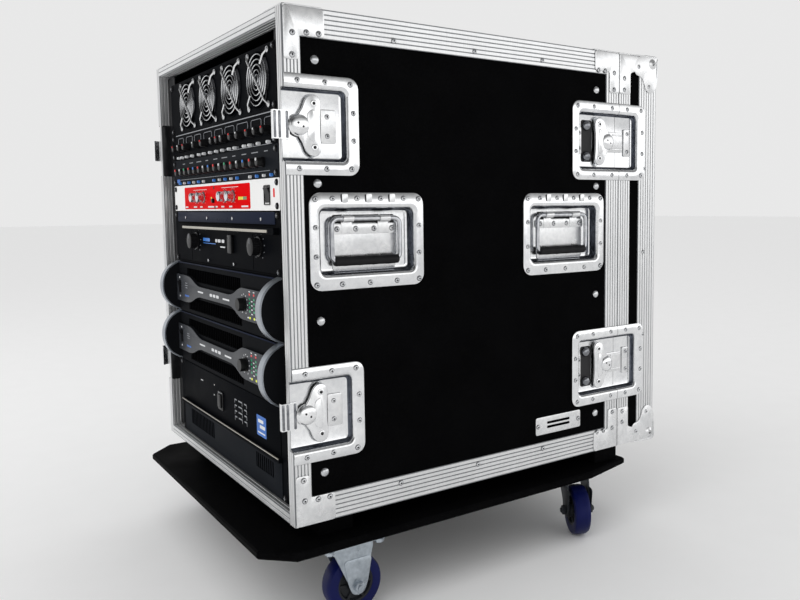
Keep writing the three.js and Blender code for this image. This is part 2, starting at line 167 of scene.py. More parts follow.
def round_rect(u0: float, u1: float, v0: float, v1: float, radius: float, steps: int = 4) -> Outline:
    """Rectangle with round corners.

    Args:
        u0, u1: its ends across.
        v0, v1: its ends up.
        radius: corner radius.
        steps: segments in each corner.

    Returns:
        The outline, anticlockwise from the upper right corner.
    """
    outline = []
    centres = ((u1 - radius, v1 - radius), (u0 + radius, v1 - radius),
               (u0 + radius, v0 + radius), (u1 - radius, v0 + radius))
    for quarter, (cu, cv) in enumerate(centres):
        for i in range(steps + 1):
            angle = math.radians(90 * quarter + 90 * i / steps)
            outline.append((cu + radius * math.cos(angle), cv + radius * math.sin(angle)))
    return outline


def dial(u: float, v: float, radius: float, turns: range) -> Outline:
    """Spots on a dial's arc round (u, v), at the angles of a range in degrees."""
    return [(u + radius * math.cos(math.radians(t)), v + radius * math.sin(math.radians(t))) for t in turns]


def softened(corners: Outline, radius: float, steps: int = 3) -> Outline:
    """Rounds every corner of a polygon.

    Args:
        corners: its corners in order.
        radius: how far along each edge the rounding starts.
        steps: segments in each corner.

    Returns:
        The rounded outline.
    """
    outline = []
    for i, point in enumerate(corners):
        here = Vector(point)
        before, after = Vector(corners[i - 1]) - here, Vector(corners[(i + 1) % len(corners)]) - here
        a = here + before.normalized() * min(radius, before.length * 0.48)
        b = here + after.normalized() * min(radius, after.length * 0.48)
        for k in range(steps + 1):
            t = k / steps
            spot = a * (1 - t) ** 2 + here * 2 * t * (1 - t) + b * t ** 2
            outline.append((spot.x, spot.y))
    return outline


# --- shader nodes
def add_node(tree: bpy.types.NodeTree, kind: str, sockets: dict[str | int, object] | None = None,
             operation: str = "") -> bpy.types.Node:
    """Adds a node to a tree.

    Args:
        tree: the node tree.
        kind: the node's type.
        sockets: values of its inputs, by name or number.
        operation: what a math node does.

    Returns:
        The node.
    """
    node = tree.nodes.new(kind)
    if operation:
        node.operation = operation
    for key, value in (sockets or {}).items():
        node.inputs[key].default_value = value
    return node


# --- finishes
class Grain(Enum):
    """Surface textures, by how the texture is stretched and how fine it is (per metre)."""

    BRUSHED = (1.0, 1.0, 0.05, 900.0)
    PEBBLE = (1.0, 1.0, 1.0, 700.0)
    PLATED = (1.0, 1.0, 1.0, 160.0)
    PAINT = (1.0, 1.0, 1.0, 1100.0)
    WOOD = (0.15, 1.0, 1.0, 260.0)
    MOULDED = (1.0, 1.0, 1.0, 1500.0)


@dataclass(frozen=True)
class Finish:
    """One finish: two colours that a fine grain mixes, worn by broad clouds."""

    name: str
    slot: str
    colour: Colour
    second: Colour
    grain: Grain
    metallic: float = 0.0
    rough: Flat = (0.4, 0.55)
    bump: float = 0.1
    cloud: float = 14.0
    specular: float = 0.5
    coat: float = 0.0
    glow: float = 0.0
    dull_below: float = 0.15
    iors: Flat = (1.12, 1.45)
    fine_detail: float = 3.0
    cloud_detail: float = 5.0
    mixed: Flat = (0.32, 0.68)
    worn: Flat = (0.3, 0.7)
    bump_deep: float = 0.0004

    def build(self) -> bpy.types.Material:
        """Builds the material once and returns it."""
        name = f"looks_{self.name}"
        made = bpy.data.materials.get(name)
        if made:
            return made
        material = bpy.data.materials.new(name)
        material.use_nodes = True
        tree = material.node_tree
        link, shader = tree.links.new, tree.nodes["Principled BSDF"]
        dull = self.specular < self.dull_below and not self.metallic
        shader.inputs["Metallic"].default_value = self.metallic
        shader.inputs["Specular IOR Level"].default_value = self.specular
        shader.inputs["Coat Weight"].default_value = self.coat
        shader.inputs["IOR"].default_value = self.iors[0 if dull else 1]
        if self.glow:
            shader.inputs["Emission Color"].default_value = (*self.colour, 1.0)
            shader.inputs["Emission Strength"].default_value = self.glow
        *stretch, scale = self.grain.value
        coords = add_node(tree, "ShaderNodeTexCoord")
        mapping = add_node(tree, "ShaderNodeMapping", {"Scale": stretch})
        link(coords.outputs["Object"], mapping.inputs["Vector"])

        fine = add_node(tree, "ShaderNodeTexNoise", {"Scale": scale, "Detail": self.fine_detail})
        link(mapping.outputs["Vector"], fine.inputs["Vector"])
        height = fine.outputs["Fac"]
        if self.grain is Grain.PEBBLE:
            cells = add_node(tree, "ShaderNodeTexVoronoi", {"Scale": scale})
            link(mapping.outputs["Vector"], cells.inputs["Vector"])
            height = cells.outputs["Distance"]
        clouds = add_node(tree, "ShaderNodeTexNoise", {"Scale": self.cloud, "Detail": self.cloud_detail})
        link(coords.outputs["Object"], clouds.inputs["Vector"])

        halved = add_node(tree, "ShaderNodeMath", {1: 0.5}, "MULTIPLY")
        blend = add_node(tree, "ShaderNodeMath", {1: 0.5}, "MULTIPLY_ADD")
        link(clouds.outputs["Fac"], halved.inputs[0])
        link(height, blend.inputs[0])
        link(halved.outputs[0], blend.inputs[2])
        ramp = add_node(tree, "ShaderNodeValToRGB")
        for element, position, tint in zip(ramp.color_ramp.elements, self.mixed, (self.second, self.colour)):
            element.position, element.color = position, (*tint, 1.0)
        link(blend.outputs[0], ramp.inputs["Fac"])
        link(ramp.outputs["Color"], shader.inputs["Base Color"])

        spread = add_node(tree, "ShaderNodeMapRange", {
            "From Min": self.worn[0], "From Max": self.worn[1],
            "To Min": self.rough[0], "To Max": self.rough[1]})
        link(clouds.outputs["Fac"], spread.inputs["Value"])
        link(spread.outputs["Result"], shader.inputs["Roughness"])

        bump = add_node(tree, "ShaderNodeBump", {"Strength": self.bump, "Distance": self.bump_deep})
        link(height, bump.inputs["Height"])
        link(bump.outputs["Normal"], shader.inputs["Normal"])
        return material


LAMINATE = Finish("black_laminate", "black_laminate", (.0035, .0035, .0038), (.0015, .0015, .0017),
                  Grain.PEBBLE, rough=(.5, .65), bump=.12, specular=.05)
LAND = Finish("bright_edge", "edge_aluminium", (.8, .805, .81), (.68, .685, .69), Grain.BRUSHED,
              .9, (.3, .42), .08)
# Painted shade: a darker copy of the edge aluminium for the frames under the lands, shading grooves and
# inward faces.
GROOVE_SHADE = Finish("edge_groove_shade", "edge_aluminium", (.3, .31, .325), (.18, .19, .2), Grain.BRUSHED,
                .7, (.4, .55), .1)
PLATED = Finish("bright_plate", "plated_steel", (.9, .905, .91), (.72, .73, .745), Grain.PLATED,
                1.0, (.12, .24), .05, 22.0)
BRACE = Finish("brace_steel", "plated_steel", (.86, .862, .865), (.66, .67, .68), Grain.PLATED,
               .95, (.2, .34), .07, 26.0)
RIVET = Finish("rivet_steel", "plated_steel", (.74, .75, .76), (.42, .43, .45), Grain.PLATED,
               .95, (.16, .3), .1, 60.0)
# Painted shade: near-black steel for the shade in rivet hollows, gaps, slots and pin holes; the channel
# strip's two screw marks use it too.
HOLE_SHADE = Finish("painted_hole_shade", "plated_steel", (.03, .03, .032), (.012, .012, .013),
                   Grain.PAINT, .3, (.5, .7), .1)
# Painted shade: a darker copy of the plated steel for the walls of pressed pans.
PAN_WALL_SHADE = Finish("pan_wall_shade", "plated_steel", (.15, .165, .2), (.04, .045, .06), Grain.PLATED,
                  .9, (.16, .3), .06, 26.0)
BAIL = Finish("bail_chrome", "plated_steel", (.72, .73, .75), (.4, .41, .44), Grain.PLATED,
              1.0, (.1, .2), .04, 30.0)
SPRING = Finish("spring_steel", "plated_steel", (.34, .35, .37), (.1, .105, .115), Grain.PLATED,
                1.0, (.1, .2), .05, 60.0)
# Painted shadow: dark steel for a ring round the foot of every rivet.
RIVET_SHADOW = Finish("rivet_shadow_ring", "plated_steel", (.2, .205, .215), (.08, .083, .09), Grain.PLATED,
              .8, (.3, .45), .08, 40.0)
GRIP = Finish("grip_rubber", "grip_rubber", (.012, .012, .013), (.006, .006, .007), Grain.MOULDED,
              rough=(.42, .6), bump=.25, specular=.2)
RAIL = Finish("rail_black", "rail_black", (.011, .011, .012), (.006, .006, .007), Grain.PAINT,
              0.0, (.4, .55), .12, specular=.15)
DOLLY = Finish("dolly_black", "dolly_black", (.0042, .0042, .0046), (.0016, .0016, .0018), Grain.WOOD,
               rough=(.4, .58), bump=.14, specular=.1)
ZINC = Finish("zinc_plate", "zinc_steel", (.52, .57, .62), (.32, .36, .4), Grain.PLATED,
              .9, (.26, .42), .12, 30.0)
TYRE = Finish("blue_tyre", "tyre_blue", (.003, .007, .088), (.0015, .0035, .045), Grain.MOULDED,
              rough=(.35, .5), bump=.16, specular=.2)
# Painted shade: the zinc plate darkened to near black for the rear forks, their nuts and cheeks.
ZINC_IN_SHADE = Finish("zinc_in_painted_shade", "zinc_steel", (.05, .056, .064), (.02, .023, .028), Grain.PLATED,
                   .5, (.3, .45), .12, 30.0, specular=.3)
HUB = Finish("hub_moulding", "tyre_blue", (.02, .022, .026), (.01, .011, .013), Grain.MOULDED,
             rough=(.35, .5), bump=.12, specular=.25)
UNIT_BLACK = Finish("unit_black", "unit_black", (.0052, .0058, .0075), (.0022, .0026, .0034),
                    Grain.PAINT, 0.0, (.36, .5), .12, specular=.05)
UNIT_GREY = Finish("unit_grey", "unit_grey", (.016, .018, .022), (.009, .0105, .013), Grain.PAINT,
                   0.0, (.38, .52), .12, specular=.08)
CHARCOAL = Finish("fascia_charcoal", "unit_grey", (.010, .0108, .0125), (.0058, .0062, .0073),
                  Grain.PAINT, 0.0, (.4, .55), .1, specular=.06)
BONE = Finish("fascia_grey", "unit_grey", (.046, .05, .058), (.03, .033, .039), Grain.PAINT,
              0.0, (.34, .46), .08, specular=.25)
RIM = Finish("fin_rim", "unit_grey", (.42, .45, .49), (.27, .3, .34), Grain.PAINT,
             .8, (.26, .4), .06)
CHAMPAGNE = Finish("champagne_bar", "unit_grey", (.56, .53, .47), (.42, .4, .35), Grain.BRUSHED,
                   .85, (.3, .42), .06)
BLUE_EDGE = Finish("blue_black_edge", "unit_black", (.02, .026, .048), (.011, .014, .027),
                   Grain.PAINT, 0.0, (.26, .38), .06, specular=.12)
WHITE = Finish("white_panel", "unit_white", (.9, .9, .89), (.82, .82, .81), Grain.PAINT,
               rough=(.3, .45), bump=.05, specular=.3)
RED = Finish("red_field", "unit_white", (.8, .004, .006), (.66, .002, .003), Grain.PAINT,
             rough=(.3, .42), bump=.05, specular=.08)
VENT = Finish("vent_black", "unit_black", (.003, .003, .0035), (.0015, .0015, .002), Grain.PAINT,
              rough=(.5, .7), bump=.1, specular=.05)
FAN = Finish("fan_black", "fan_black", (.075, .077, .085), (.035, .036, .042), Grain.MOULDED,
             rough=(.35, .5), bump=.1, specular=.25)
WIRE = Finish("guard_wire", "plated_steel", (.84, .85, .86), (.6, .61, .63), Grain.PLATED,
              .95, (.14, .26), .05, 40.0)
KNOB = Finish("turned_knob", "knob_chrome", (.8, .81, .83), (.5, .51, .54), Grain.BRUSHED,
              .95, (.16, .3), .05, 40.0)
# Painted shade with a painted red reflection: dark red metal for a ring at the foot of each channel knob.
KNOB_FOOT_SHADE = Finish("knob_foot_shade", "knob_chrome", (.2, .06, .06), (.1, .03, .03), Grain.BRUSHED,
                   .6, (.3, .4), .08, 40.0)
SWITCH = Finish("switch_black", "switch_black", (.008, .008, .009), (.004, .004, .0045),
                Grain.MOULDED, rough=(.26, .38), bump=.06, specular=.18)
# Painted shade: near-black plated steel for the dish backs seen in shade inside the frame.
LATCH_BACK_SHADE = Finish("latch_back", "plated_steel", (.02, .021, .023), (.008, .0085, .0095),
                    Grain.PLATED, .3, (.12, .22), .04, 20.0, specular=.3)
MARK = Finish("print_white", "unit_white", (.8, .81, .82), (.62, .63, .65), Grain.PAINT,
              rough=(.4, .5), bump=.03)
# Grey print; the base amplifier's rocker glints use it too, as painted highlights.
MARK_DIM = Finish("grey_print_and_glints", "unit_white", (.3, .31, .33), (.2, .21, .23), Grain.PAINT,
                  rough=(.4, .5), bump=.03)
MARK_BLUE = Finish("print_blue", "unit_white", (.03, .16, .55), (.02, .1, .4), Grain.PAINT,
                   rough=(.35, .5), bump=.03)
# Lamp finishes glow. The red, green and blue ones also dress knob caps, pointers, keys and a printed bar
# that are no lamps; on those the glow is painted light.
LAMPS_AND_GLOWING_CAPS = {
    "red": Finish("lamp_and_painted_glow_red", "unit_white", (.6, .02, .02), (.4, .01, .01), Grain.PAINT,
                  rough=(.2, .3), bump=.03, glow=.25),
    "green": Finish("lamp_and_painted_glow_green", "unit_white", (.04, .3, .14), (.02, .2, .1), Grain.PAINT,
                    rough=(.2, .3), bump=.03, glow=.2),
    "yellow": Finish("lamp_yellow", "unit_white", (.7, .75, .05), (.5, .55, .02), Grain.PAINT,
                     rough=(.2, .3), bump=.03, glow=.3),
    "blue": Finish("painted_glow_blue", "unit_white", (.04, .2, .6), (.02, .12, .42), Grain.PAINT,
                   rough=(.2, .3), bump=.03, glow=.15),
    "white": MARK,
}


# --- bench
class Bench:
    """Modelling tools in millimetres of the row frame, and the hand-over of finished pieces."""

    def __init__(self) -> None:
        """Starts with nothing made."""
        self.made: list[str] = []
        self.merge = 0.0004

    @staticmethod
    def pick(*objects: Body) -> None:
        """Selects only these objects; the first one becomes active."""
        bpy.ops.object.select_all(action="DESELECT")
        for item in objects:
            item.select_set(True)
        if objects:
            bpy.context.view_layer.objects.active = objects[0]

    def loft(self, loops: list[list[Vector]], ring: bool = False) -> Body:
        """Skins loops of points in order and closes both ends.

        Args:
            loops: outlines of equal count, in order along the shape.
            ring: joins the last loop to the first instead of closing the ends.

        Returns:
            A closed body.
        """
        count, rows = len(loops[0]), len(loops) + int(ring)
        self.pick()
        bpy.ops.mesh.primitive_grid_add(x_subdivisions=count, y_subdivisions=rows - 1)
        body = bpy.context.active_object
        bpy.ops.object.mode_set(mode="EDIT")
        shell = bmesh.from_edit_mesh(body.data)
        for vert in shell.verts:
            row, column = divmod(vert.index, count + 1)
            vert.co = loops[row % len(loops)][column % count]
        bmesh.update_edit_mesh(body.data)
        bpy.ops.mesh.select_all(action="SELECT")
        bpy.ops.mesh.remove_doubles(threshold=self.merge)
        if not ring:
            bpy.ops.mesh.select_mode(type="EDGE")
            bpy.ops.mesh.select_all(action="SELECT")
            bpy.ops.mesh.fill_holes(sides=0)
        bpy.ops.mesh.select_all(action="SELECT")
        bpy.ops.mesh.normals_make_consistent(inside=False)
        bpy.ops.object.mode_set(mode="OBJECT")
        return body

    def bevel(self, body: Body, width: float, segments: int = 2,
              angle: float = 40.0) -> Body:
        """Rounds the edges sharper than an angle and returns the body."""
        self.pick(body)
        modifier = body.modifiers.new("edge", "BEVEL")
        modifier.width = width
        modifier.segments = segments
        modifier.limit_method = "ANGLE"
        modifier.angle_limit = math.radians(angle)
        bpy.ops.object.modifier_apply(modifier="edge")
        return body

    def plate(self, face: Face, outline: Outline, d0: float, d1: float,
              bevel: float = 0.0) -> Body:
        """Flat plate of an outline between two heights over a face.

        Args:
            face: the working plane.
            outline: its shape in (u, v).
            d0, d1: back and front of the plate.
            bevel: edge rounding; none at 0.

        Returns:
            The plate.
        """
        body = self.loft([[face.at(u, v, d) for u, v in outline] for d in (d0, d1)])
        return self.bevel(body, bevel) if bevel else body

    def turned(self, face: Face, u: float, v: float, profile: Outline,
               sides: int = 16) -> Body:
        """Round body on a face from (radius, height) pairs, base first."""
        return self.loft([[face.at(a, b, d) for a, b in circle(r, sides, u, v)] for r, d in profile])

    @staticmethod
    def fluted(face: Face, radius: float, sides: int, depth: float, profile: Outline) -> list[list[Vector]]:
        """Loops of a knob round a face's origin, every other point drawn in.

        Args:
            face: the plane it stands on.
            radius: the knob's radius.
            sides: points round it.
            depth: how far a flute is drawn in, as a share of the radius; 0 for a plain loop.
            profile: (share of the radius, height) pairs.

        Returns:
            One loop for each pair.
        """
        return [[face.at(a * (1 - depth * (n % 2)) * k, b * (1 - depth * (n % 2)) * k, d)
                 for n, (a, b) in enumerate(circle(radius, sides))] for k, d in profile]

    def rod(self, points: list[Vector], radius: float, ring: bool = False,
            sides: int = 8) -> Body:
        """Round wire along points.

        Args:
            points: the wire's middle line.
            radius: half its thickness.
            ring: joins its ends.
            sides: facets round it.

        Returns:
            The wire as a closed body.
        """
        loops, last = [], len(points) - 1
        normal = None
        for i, point in enumerate(points):
            ahead = points[(i + 1) % len(points)] if ring or i < last else point
            behind = points[i - 1] if ring or i > 0 else point
            along = (ahead - behind).normalized()
            if normal is None:
                seed = X if abs(along.x) < 0.8 else Z
                normal = along.cross(seed).normalized()
            normal = (normal - along * normal.dot(along)).normalized()
            other = along.cross(normal)
            loops.append([point + normal * a + other * b for a, b in circle(radius, sides)])
        return self.loft(loops, ring=ring)

    def cut(self, body: Body, *cutters: Body) -> Body:
        """Cuts the cutters out of a body, removes them and returns the body."""
        for cutter in cutters:
            modifier = body.modifiers.new("cut", "BOOLEAN")
            modifier.operation = "DIFFERENCE"
            modifier.solver = "EXACT"
            modifier.object = cutter
            self.pick(body)
            bpy.ops.object.modifier_apply(modifier="cut")
            bpy.data.objects.remove(cutter)
        return body

    def halve(self, body: Body, point: Vector, away: Vector) -> Body:
        """Removes what lies beyond a plane, on the side away points to, and closes the cut."""
        self.pick(body)
        bpy.ops.object.mode_set(mode="EDIT")
        bpy.ops.mesh.select_all(action="SELECT")
        bpy.ops.mesh.bisect(plane_co=point, plane_no=away, use_fill=True, clear_outer=True)
        bpy.ops.mesh.select_all(action="SELECT")
        bpy.ops.mesh.normals_make_consistent(inside=False)
        bpy.ops.object.mode_set(mode="OBJECT")
        return body

    def copy(self, body: Body, matrix: Matrix) -> Body:
        """A copy with its own mesh, put in place by a matrix; mirrored copies face outwards."""
        twin = body.copy()
        twin.data = body.data.copy()
        bpy.context.scene.collection.objects.link(twin)
        twin.data.transform(matrix)
        if matrix.determinant() < 0:
            twin.data.flip_normals()
        return twin

    def scatter(self, master: Body, spots: list[Matrix]) -> Body:
        """Copies a master to every spot, joins the copies and removes the master."""
        copies = [self.copy(master, spot) for spot in spots]
        bpy.data.objects.remove(master)
        return self.join(copies)

    def join(self, bodies: list[Body]) -> Body:
        """Joins bodies into one and returns it."""
        self.pick(*bodies)
        if len(bodies) > 1:
            bpy.ops.object.join()
        return bpy.context.view_layer.objects.active

    def finish(self, body: Body | list[Body], name: str, rides: str,
               finish: Finish, *stands_for: str, smooth: float = 35.0) -> Body:
        """Names a body, scales it to metres, dresses it and puts it on its CAD body.

        Args:
            body: the modelled body in millimetres, or bodies to join.
            name: the piece's name.
            rides: the CAD body that carries it.
            finish: its finish.
            stands_for: CAD nodes that it replaces.
            smooth: edges under this angle are shaded smooth.

        Returns:
            The finished piece.
        """
        body = self.join(body) if isinstance(body, list) else body
        self.pick(body)
        body.name = body.data.name = name
        body.data.transform(Matrix.Scale(MM, 4))
        bpy.ops.object.shade_smooth_by_angle(angle=math.radians(smooth))
        body.data.materials.clear()
        body.data.materials.append(finish.build())
        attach(body, rides)
        if stands_for:
            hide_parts(*stands_for)
        self.made.append(name)
        LOG.info("piece %s rides %s, %d faces", name, rides, len(body.data.polygons))
        return body

    @staticmethod
    def dress(node: str, finish: Finish) -> None:
        """Gives a kept CAD node its finish."""
        target = frame["nodes"][node]
        target.data.materials.clear()
        target.data.materials.append(finish.build())
        LOG.info("node %s wears %s", node, finish.name)


BENCH = Bench()


# --- small hardware
@dataclass(frozen=True)
class Rivet:
    """Domed tubular rivet, with painted shade in its hollow and a painted shadow ring round its foot."""

    radius: float = 3.5
    height: float = 1.7
    hollow: float = 1.35

    def heads(self, name: str, rides: str, spots: list[Matrix]) -> None:
        """Sets a head, its painted shadow ring and the painted shade in its hollow at every spot.

        Args:
            name: the name the two pieces share.
            rides: the CAD body that carries them.
            spots: matrices that take a head at the origin to its place.
        """
        r, h = self.radius, self.height
        dome = [(r, -0.4), (r, h * .3), (r * .88, h * .66), (r * .62, h * .92), (self.hollow, h),
                (self.hollow * .8, h * .55)]
        head = BENCH.turned(GROUND, 0, 0, dome, 12)
        BENCH.finish(BENCH.scatter(head, spots), f"{name}_heads", rides, RIVET)
        # Painted shadow: a dark ring a little wider than the head, flat round its foot.
        shadow_ring = BENCH.turned(GROUND, 0, 0, [(r + .55, -.5), (r + .55, .1), (r + .1, .16)], 12)
        BENCH.finish(BENCH.scatter(shadow_ring, spots), f"{name}_seats", rides, RIVET_SHADOW)
        # Painted shade: a dark plug fills the hollow of each rivet.
        hollow_shade = BENCH.turned(GROUND, 0, 0, [(self.hollow * .95, h * .4), (self.hollow * .95, h * .72),
                                           (self.hollow * .5, h * .8)], 8)
        BENCH.finish(BENCH.scatter(hollow_shade, spots), f"{name}_hollows", rides, HOLE_SHADE)


RIVETS = Rivet()


@dataclass(frozen=True)
class EdgeProfile:
    """Ribbed face of the aluminium edge: raised lands with narrow grooves between them."""

    lift: float = 0.7
    groove: float = 1.3
    lip: float = 0.35

    def lands(self, face: Face, u0: float, u1: float, v0: float, v1: float,
              count: int, lengthwise: bool = True) -> Body:
        """Raised lands side by side.

        Args:
            face: the plane they stand on.
            u0, u1: ends across.
            v0, v1: ends up.
            count: how many lands.
            lengthwise: True if they run along v.

        Returns:
            The lands as one body.
        """
        wide, made = (u1 - u0 if lengthwise else v1 - v0), []
        pitch = wide / count
        for i in range(count):
            a = (u0 if lengthwise else v0) + i * pitch + self.groove / 2
            b = a + pitch - self.groove
            profile = [(a, -.2), (a, self.lip), (a + .35, self.lift), (b - .35, self.lift),
                       (b, self.lip), (b, -.2)]
            if lengthwise:
                loops = [[face.at(u, v, d) for u, d in profile] for v in (v0, v1)]
            else:
                loops = [[face.at(u, v, d) for v, d in profile] for u in (u0, u1)]
            made.append(BENCH.loft(loops))
        return BENCH.join(made)


EDGE = EdgeProfile()


# --- case body
@dataclass
class RackCase:
    """Laminated body with ribbed aluminium edges, corner braces, rivets and a label plate."""

    wall: float = 18.0
    lid_wall: float = 14.0
    front_band: float = 24.0
    rear_band: float = 29.0
    long_band: float = 37.0
    pan_gap: float = 64.0
    pocket_deep: float = 9.2
    pocket_half: float = 46.5
    brace_lift: float = 2.1
    brace_radius: float = 5.0
    rivet_rows: tuple[float, ...] = (160.0, 296.0, 426.0)
    rivet_inset: float = 28.0
    bolt_heights: tuple[float, ...] = (606.0, 449.0, 269.0, 66.0)
    bolt_depths: tuple[float, ...] = (44.0, 545.0)
    label: Bar = (413.0, 510.0, 49.0, 77.5)
    height: float = field(default=TOP - BASE)
    depth: float = field(default=Box.of("body_edge_angles").hi.y - FRONT_Y)

    def clear_runs(self) -> list[Flat]:
        """Stretches of an upright band that no latch dish covers."""
        levels = sorted(joint_spot(f"wing_right_front_{n}_turn").z - BASE for n in ("bottom", "top"))
        low, high = levels
        return [(0.0, low - self.pan_gap), (low + self.pan_gap, high - self.pan_gap),
                (high + self.pan_gap, self.height)]

    def build_edges(self) -> None:
        """Ribbed lands on the sides, top and front of the body's edges."""
        lands, h, y1 = [], self.height, self.depth
        for _, sign in SIDES:
            face = side_face(sign)
            for v0, v1 in self.clear_runs():
                lands.append(EDGE.lands(face, 0.6, self.front_band, v0, v1, 5))
                lands.append(EDGE.lands(face, y1 - self.rear_band, y1 - .4, v0, v1, 5))
            run = (self.front_band, y1 - self.rear_band)
            lands.append(EDGE.lands(face, *run, h - self.long_band, h - .6, 6, False))
            lands.append(EDGE.lands(face, *run, .6, self.long_band, 6, False))
            edge = HALF - self.long_band if sign > 0 else -HALF + .6
            lands.append(EDGE.lands(TOP_FACE, edge, edge + self.long_band - .6, *run, 6))
            inner = Face(Vector((sign * (HALF - self.wall), FRONT_Y, BASE)), Y, Z, X * -sign)
            lands.append(EDGE.lands(inner, 0.6, self.front_band - 1, self.lid_wall,
                                    h - self.lid_wall, 4))
            front = front_face(BASE, FRONT_Y)
            a, b = sorted((sign * (HALF - .6), sign * (HALF - self.wall + .4)))
            lands.append(EDGE.lands(front, a, b, 0.0, h, 3))
        run = (-HALF + self.long_band, HALF - self.long_band)
        lands.append(EDGE.lands(TOP_FACE, *run, 0.6, self.front_band, 5, False))
        lands.append(EDGE.lands(TOP_FACE, *run, y1 - self.rear_band, y1 - .4, 5, False))
        span = (-HALF + self.wall, HALF - self.wall)
        front = front_face(BASE, FRONT_Y)
        lands.append(EDGE.lands(front, *span, 0.6, self.lid_wall - .4, 2, False))
        lands.append(EDGE.lands(front, *span, h - self.lid_wall + .4, h - .6, 2, False))
        for level, up in ((self.lid_wall, Z), (h - self.lid_wall, -Z)):
            lip = Face(Vector((0, FRONT_Y, BASE + level)), X, Y, up)
            lands.append(EDGE.lands(lip, *span, 0.6, self.front_band - 1, 4, False))
        whole = BENCH.join(lands)
        for _, sign in SIDES:
            for level in ("top", "bottom"):
                v = joint_spot(f"wing_right_front_{level}_turn").z - BASE
                a, b = sorted((sign * (HALF - self.pocket_deep), sign * (HALF + 2)))
                gap = rect(a, b, v - self.pocket_half, v + self.pocket_half)
                whole = BENCH.cut(whole, BENCH.plate(front, gap, -6, 3))
        BENCH.finish(whole, "edge_lands_body", "case", LAND, smooth=20)

    def brace(self, face: Face, u0: float, u1: float, v0: float, v1: float,
              leg: float, foot: float) -> Body:
        """L-shaped corner plate.

        Args:
            face: the plane it lies on.
            u0, u1: the long arm from the corner outwards; u1 may lie before u0.
            v0, v1: the tall arm from the corner outwards.
            leg: width of the tall arm.
            foot: height of the long arm.

        Returns:
            The plate.
        """
        su, sv = math.copysign(1, u1 - u0), math.copysign(1, v1 - v0)
        corners = [(u0, v0), (u1, v0), (u1, v0 + sv * foot), (u0 + su * leg, v0 + sv * foot),
                   (u0 + su * leg, v1), (u0, v1)]
        return BENCH.plate(face, softened(corners, self.brace_radius), .5, self.brace_lift, .5)

    def build_braces(self) -> None:
        """Corner braces of the body on its sides and top, with their rivets."""
        plates, spots, h, y1 = [], [], self.height, self.depth
        for _, sign in SIDES:
            face = side_face(sign)
            for v0, v1, foot in ((h - .4, h - 67.0, 36.0), (.4, 68.0, 37.0)):
                inner = v0 + math.copysign(1, v1 - v0) * (foot - 4.5)
                tip, mid = v1 - math.copysign(6, v1 - v0), (v0 + v1) / 2
                plates.append(self.brace(face, 1.0, 57.0, v0, v1, 20.0, foot))
                plates.append(self.brace(face, y1 - .6, 539.0, v0, v1, 22.0, foot - 4))
                for u, v in ((12, tip), (13, mid), (32, inner), (49, inner), (y1 - 12, tip),
                             (y1 - 12, mid), (y1 - 33, inner), (y1 - 48, inner)):
                    spots.append(face.spot(u, v, self.brace_lift))
            x0 = sign * (HALF - 1.0)
            for v0, v1, foot in ((1.0, 57.0, 21.0), (y1 - .6, 539.0, 23.0)):
                plates.append(self.brace(TOP_FACE, x0, x0 - sign * 66, v0, v1, 36.0, foot))
                near = v0 + math.copysign(10, v1 - v0)
                for u, v in ((x0 - sign * 58, near), (x0 - sign * 40, near),
                             (x0 - sign * 12, v1 - math.copysign(7, v1 - v0)),
                             (x0 - sign * 26, v1 - math.copysign(7, v1 - v0))):
                    spots.append(TOP_FACE.spot(u, v, self.brace_lift))
        BENCH.finish(plates, "corner_braces_body", "case", BRACE)
        RIVETS.heads("brace_rivets_body", "case", spots)

    def build_rivets(self) -> None:
        """Rivets along the edges, and the carriage bolts of the rack rails."""
        spots, bolts = [], []
        for _, sign in SIDES:
            face = side_face(sign)
            for u in self.rivet_rows:
                for v in (self.height - self.rivet_inset, self.rivet_inset - 1):
                    spots.append(face.spot(u, v, EDGE.lift))
                spots.append(TOP_FACE.spot(sign * (HALF - self.rivet_inset), u, EDGE.lift))
            for u in self.bolt_depths:
                bolts += [face.spot(u, v, -1.8) for v in self.bolt_heights]
        for u in (-150.0, 0.0, 150.0):
            for v in (14.0, self.depth - 15.0):
                spots.append(TOP_FACE.spot(u, v, EDGE.lift))
        RIVETS.heads("edge_rivets_body", "case", spots)
        bolt = BENCH.turned(GROUND, 0, 0, [(6.2, -.5), (6.2, .4), (5.6, 1.4), (4.2, 2.3), (2.2, 2.9),
                                           (.6, 3.05)], 18)
        BENCH.finish(BENCH.scatter(bolt, bolts), "rail_bolt_heads", "case", RIVET)

    def build_label(self) -> None:
        """Label plate with a pressed border and two plain bars, low on the right side."""
        u0, u1, v0, v1 = self.label
        face = side_face(1).moved(0, 0, -1.8)
        base = BENCH.plate(face, round_rect(u0, u1, v0, v1, 3), -.2, .9, .25)
        well = BENCH.plate(face, round_rect(u0 + 9, u1 - 9, v0 + 5, v1 - 5, 2), .6, 2.0)
        BENCH.finish(BENCH.cut(base, well), "label_plate", "case", BRACE)
        bars = [round_rect(u0 + 24, u1 - 24, v0 + low, v0 + low + 4, 1.2, 2) for low in (9, 16)]
        marks = [BENCH.plate(face, bar, .5, .85) for bar in bars]
        BENCH.finish(marks, "label_marks", "case", VENT)
        RIVETS.heads("label_rivets", "case",
                     [face.spot(u, (v0 + v1) / 2, .9) for u in (u0 + 4.6, u1 - 4.6)])

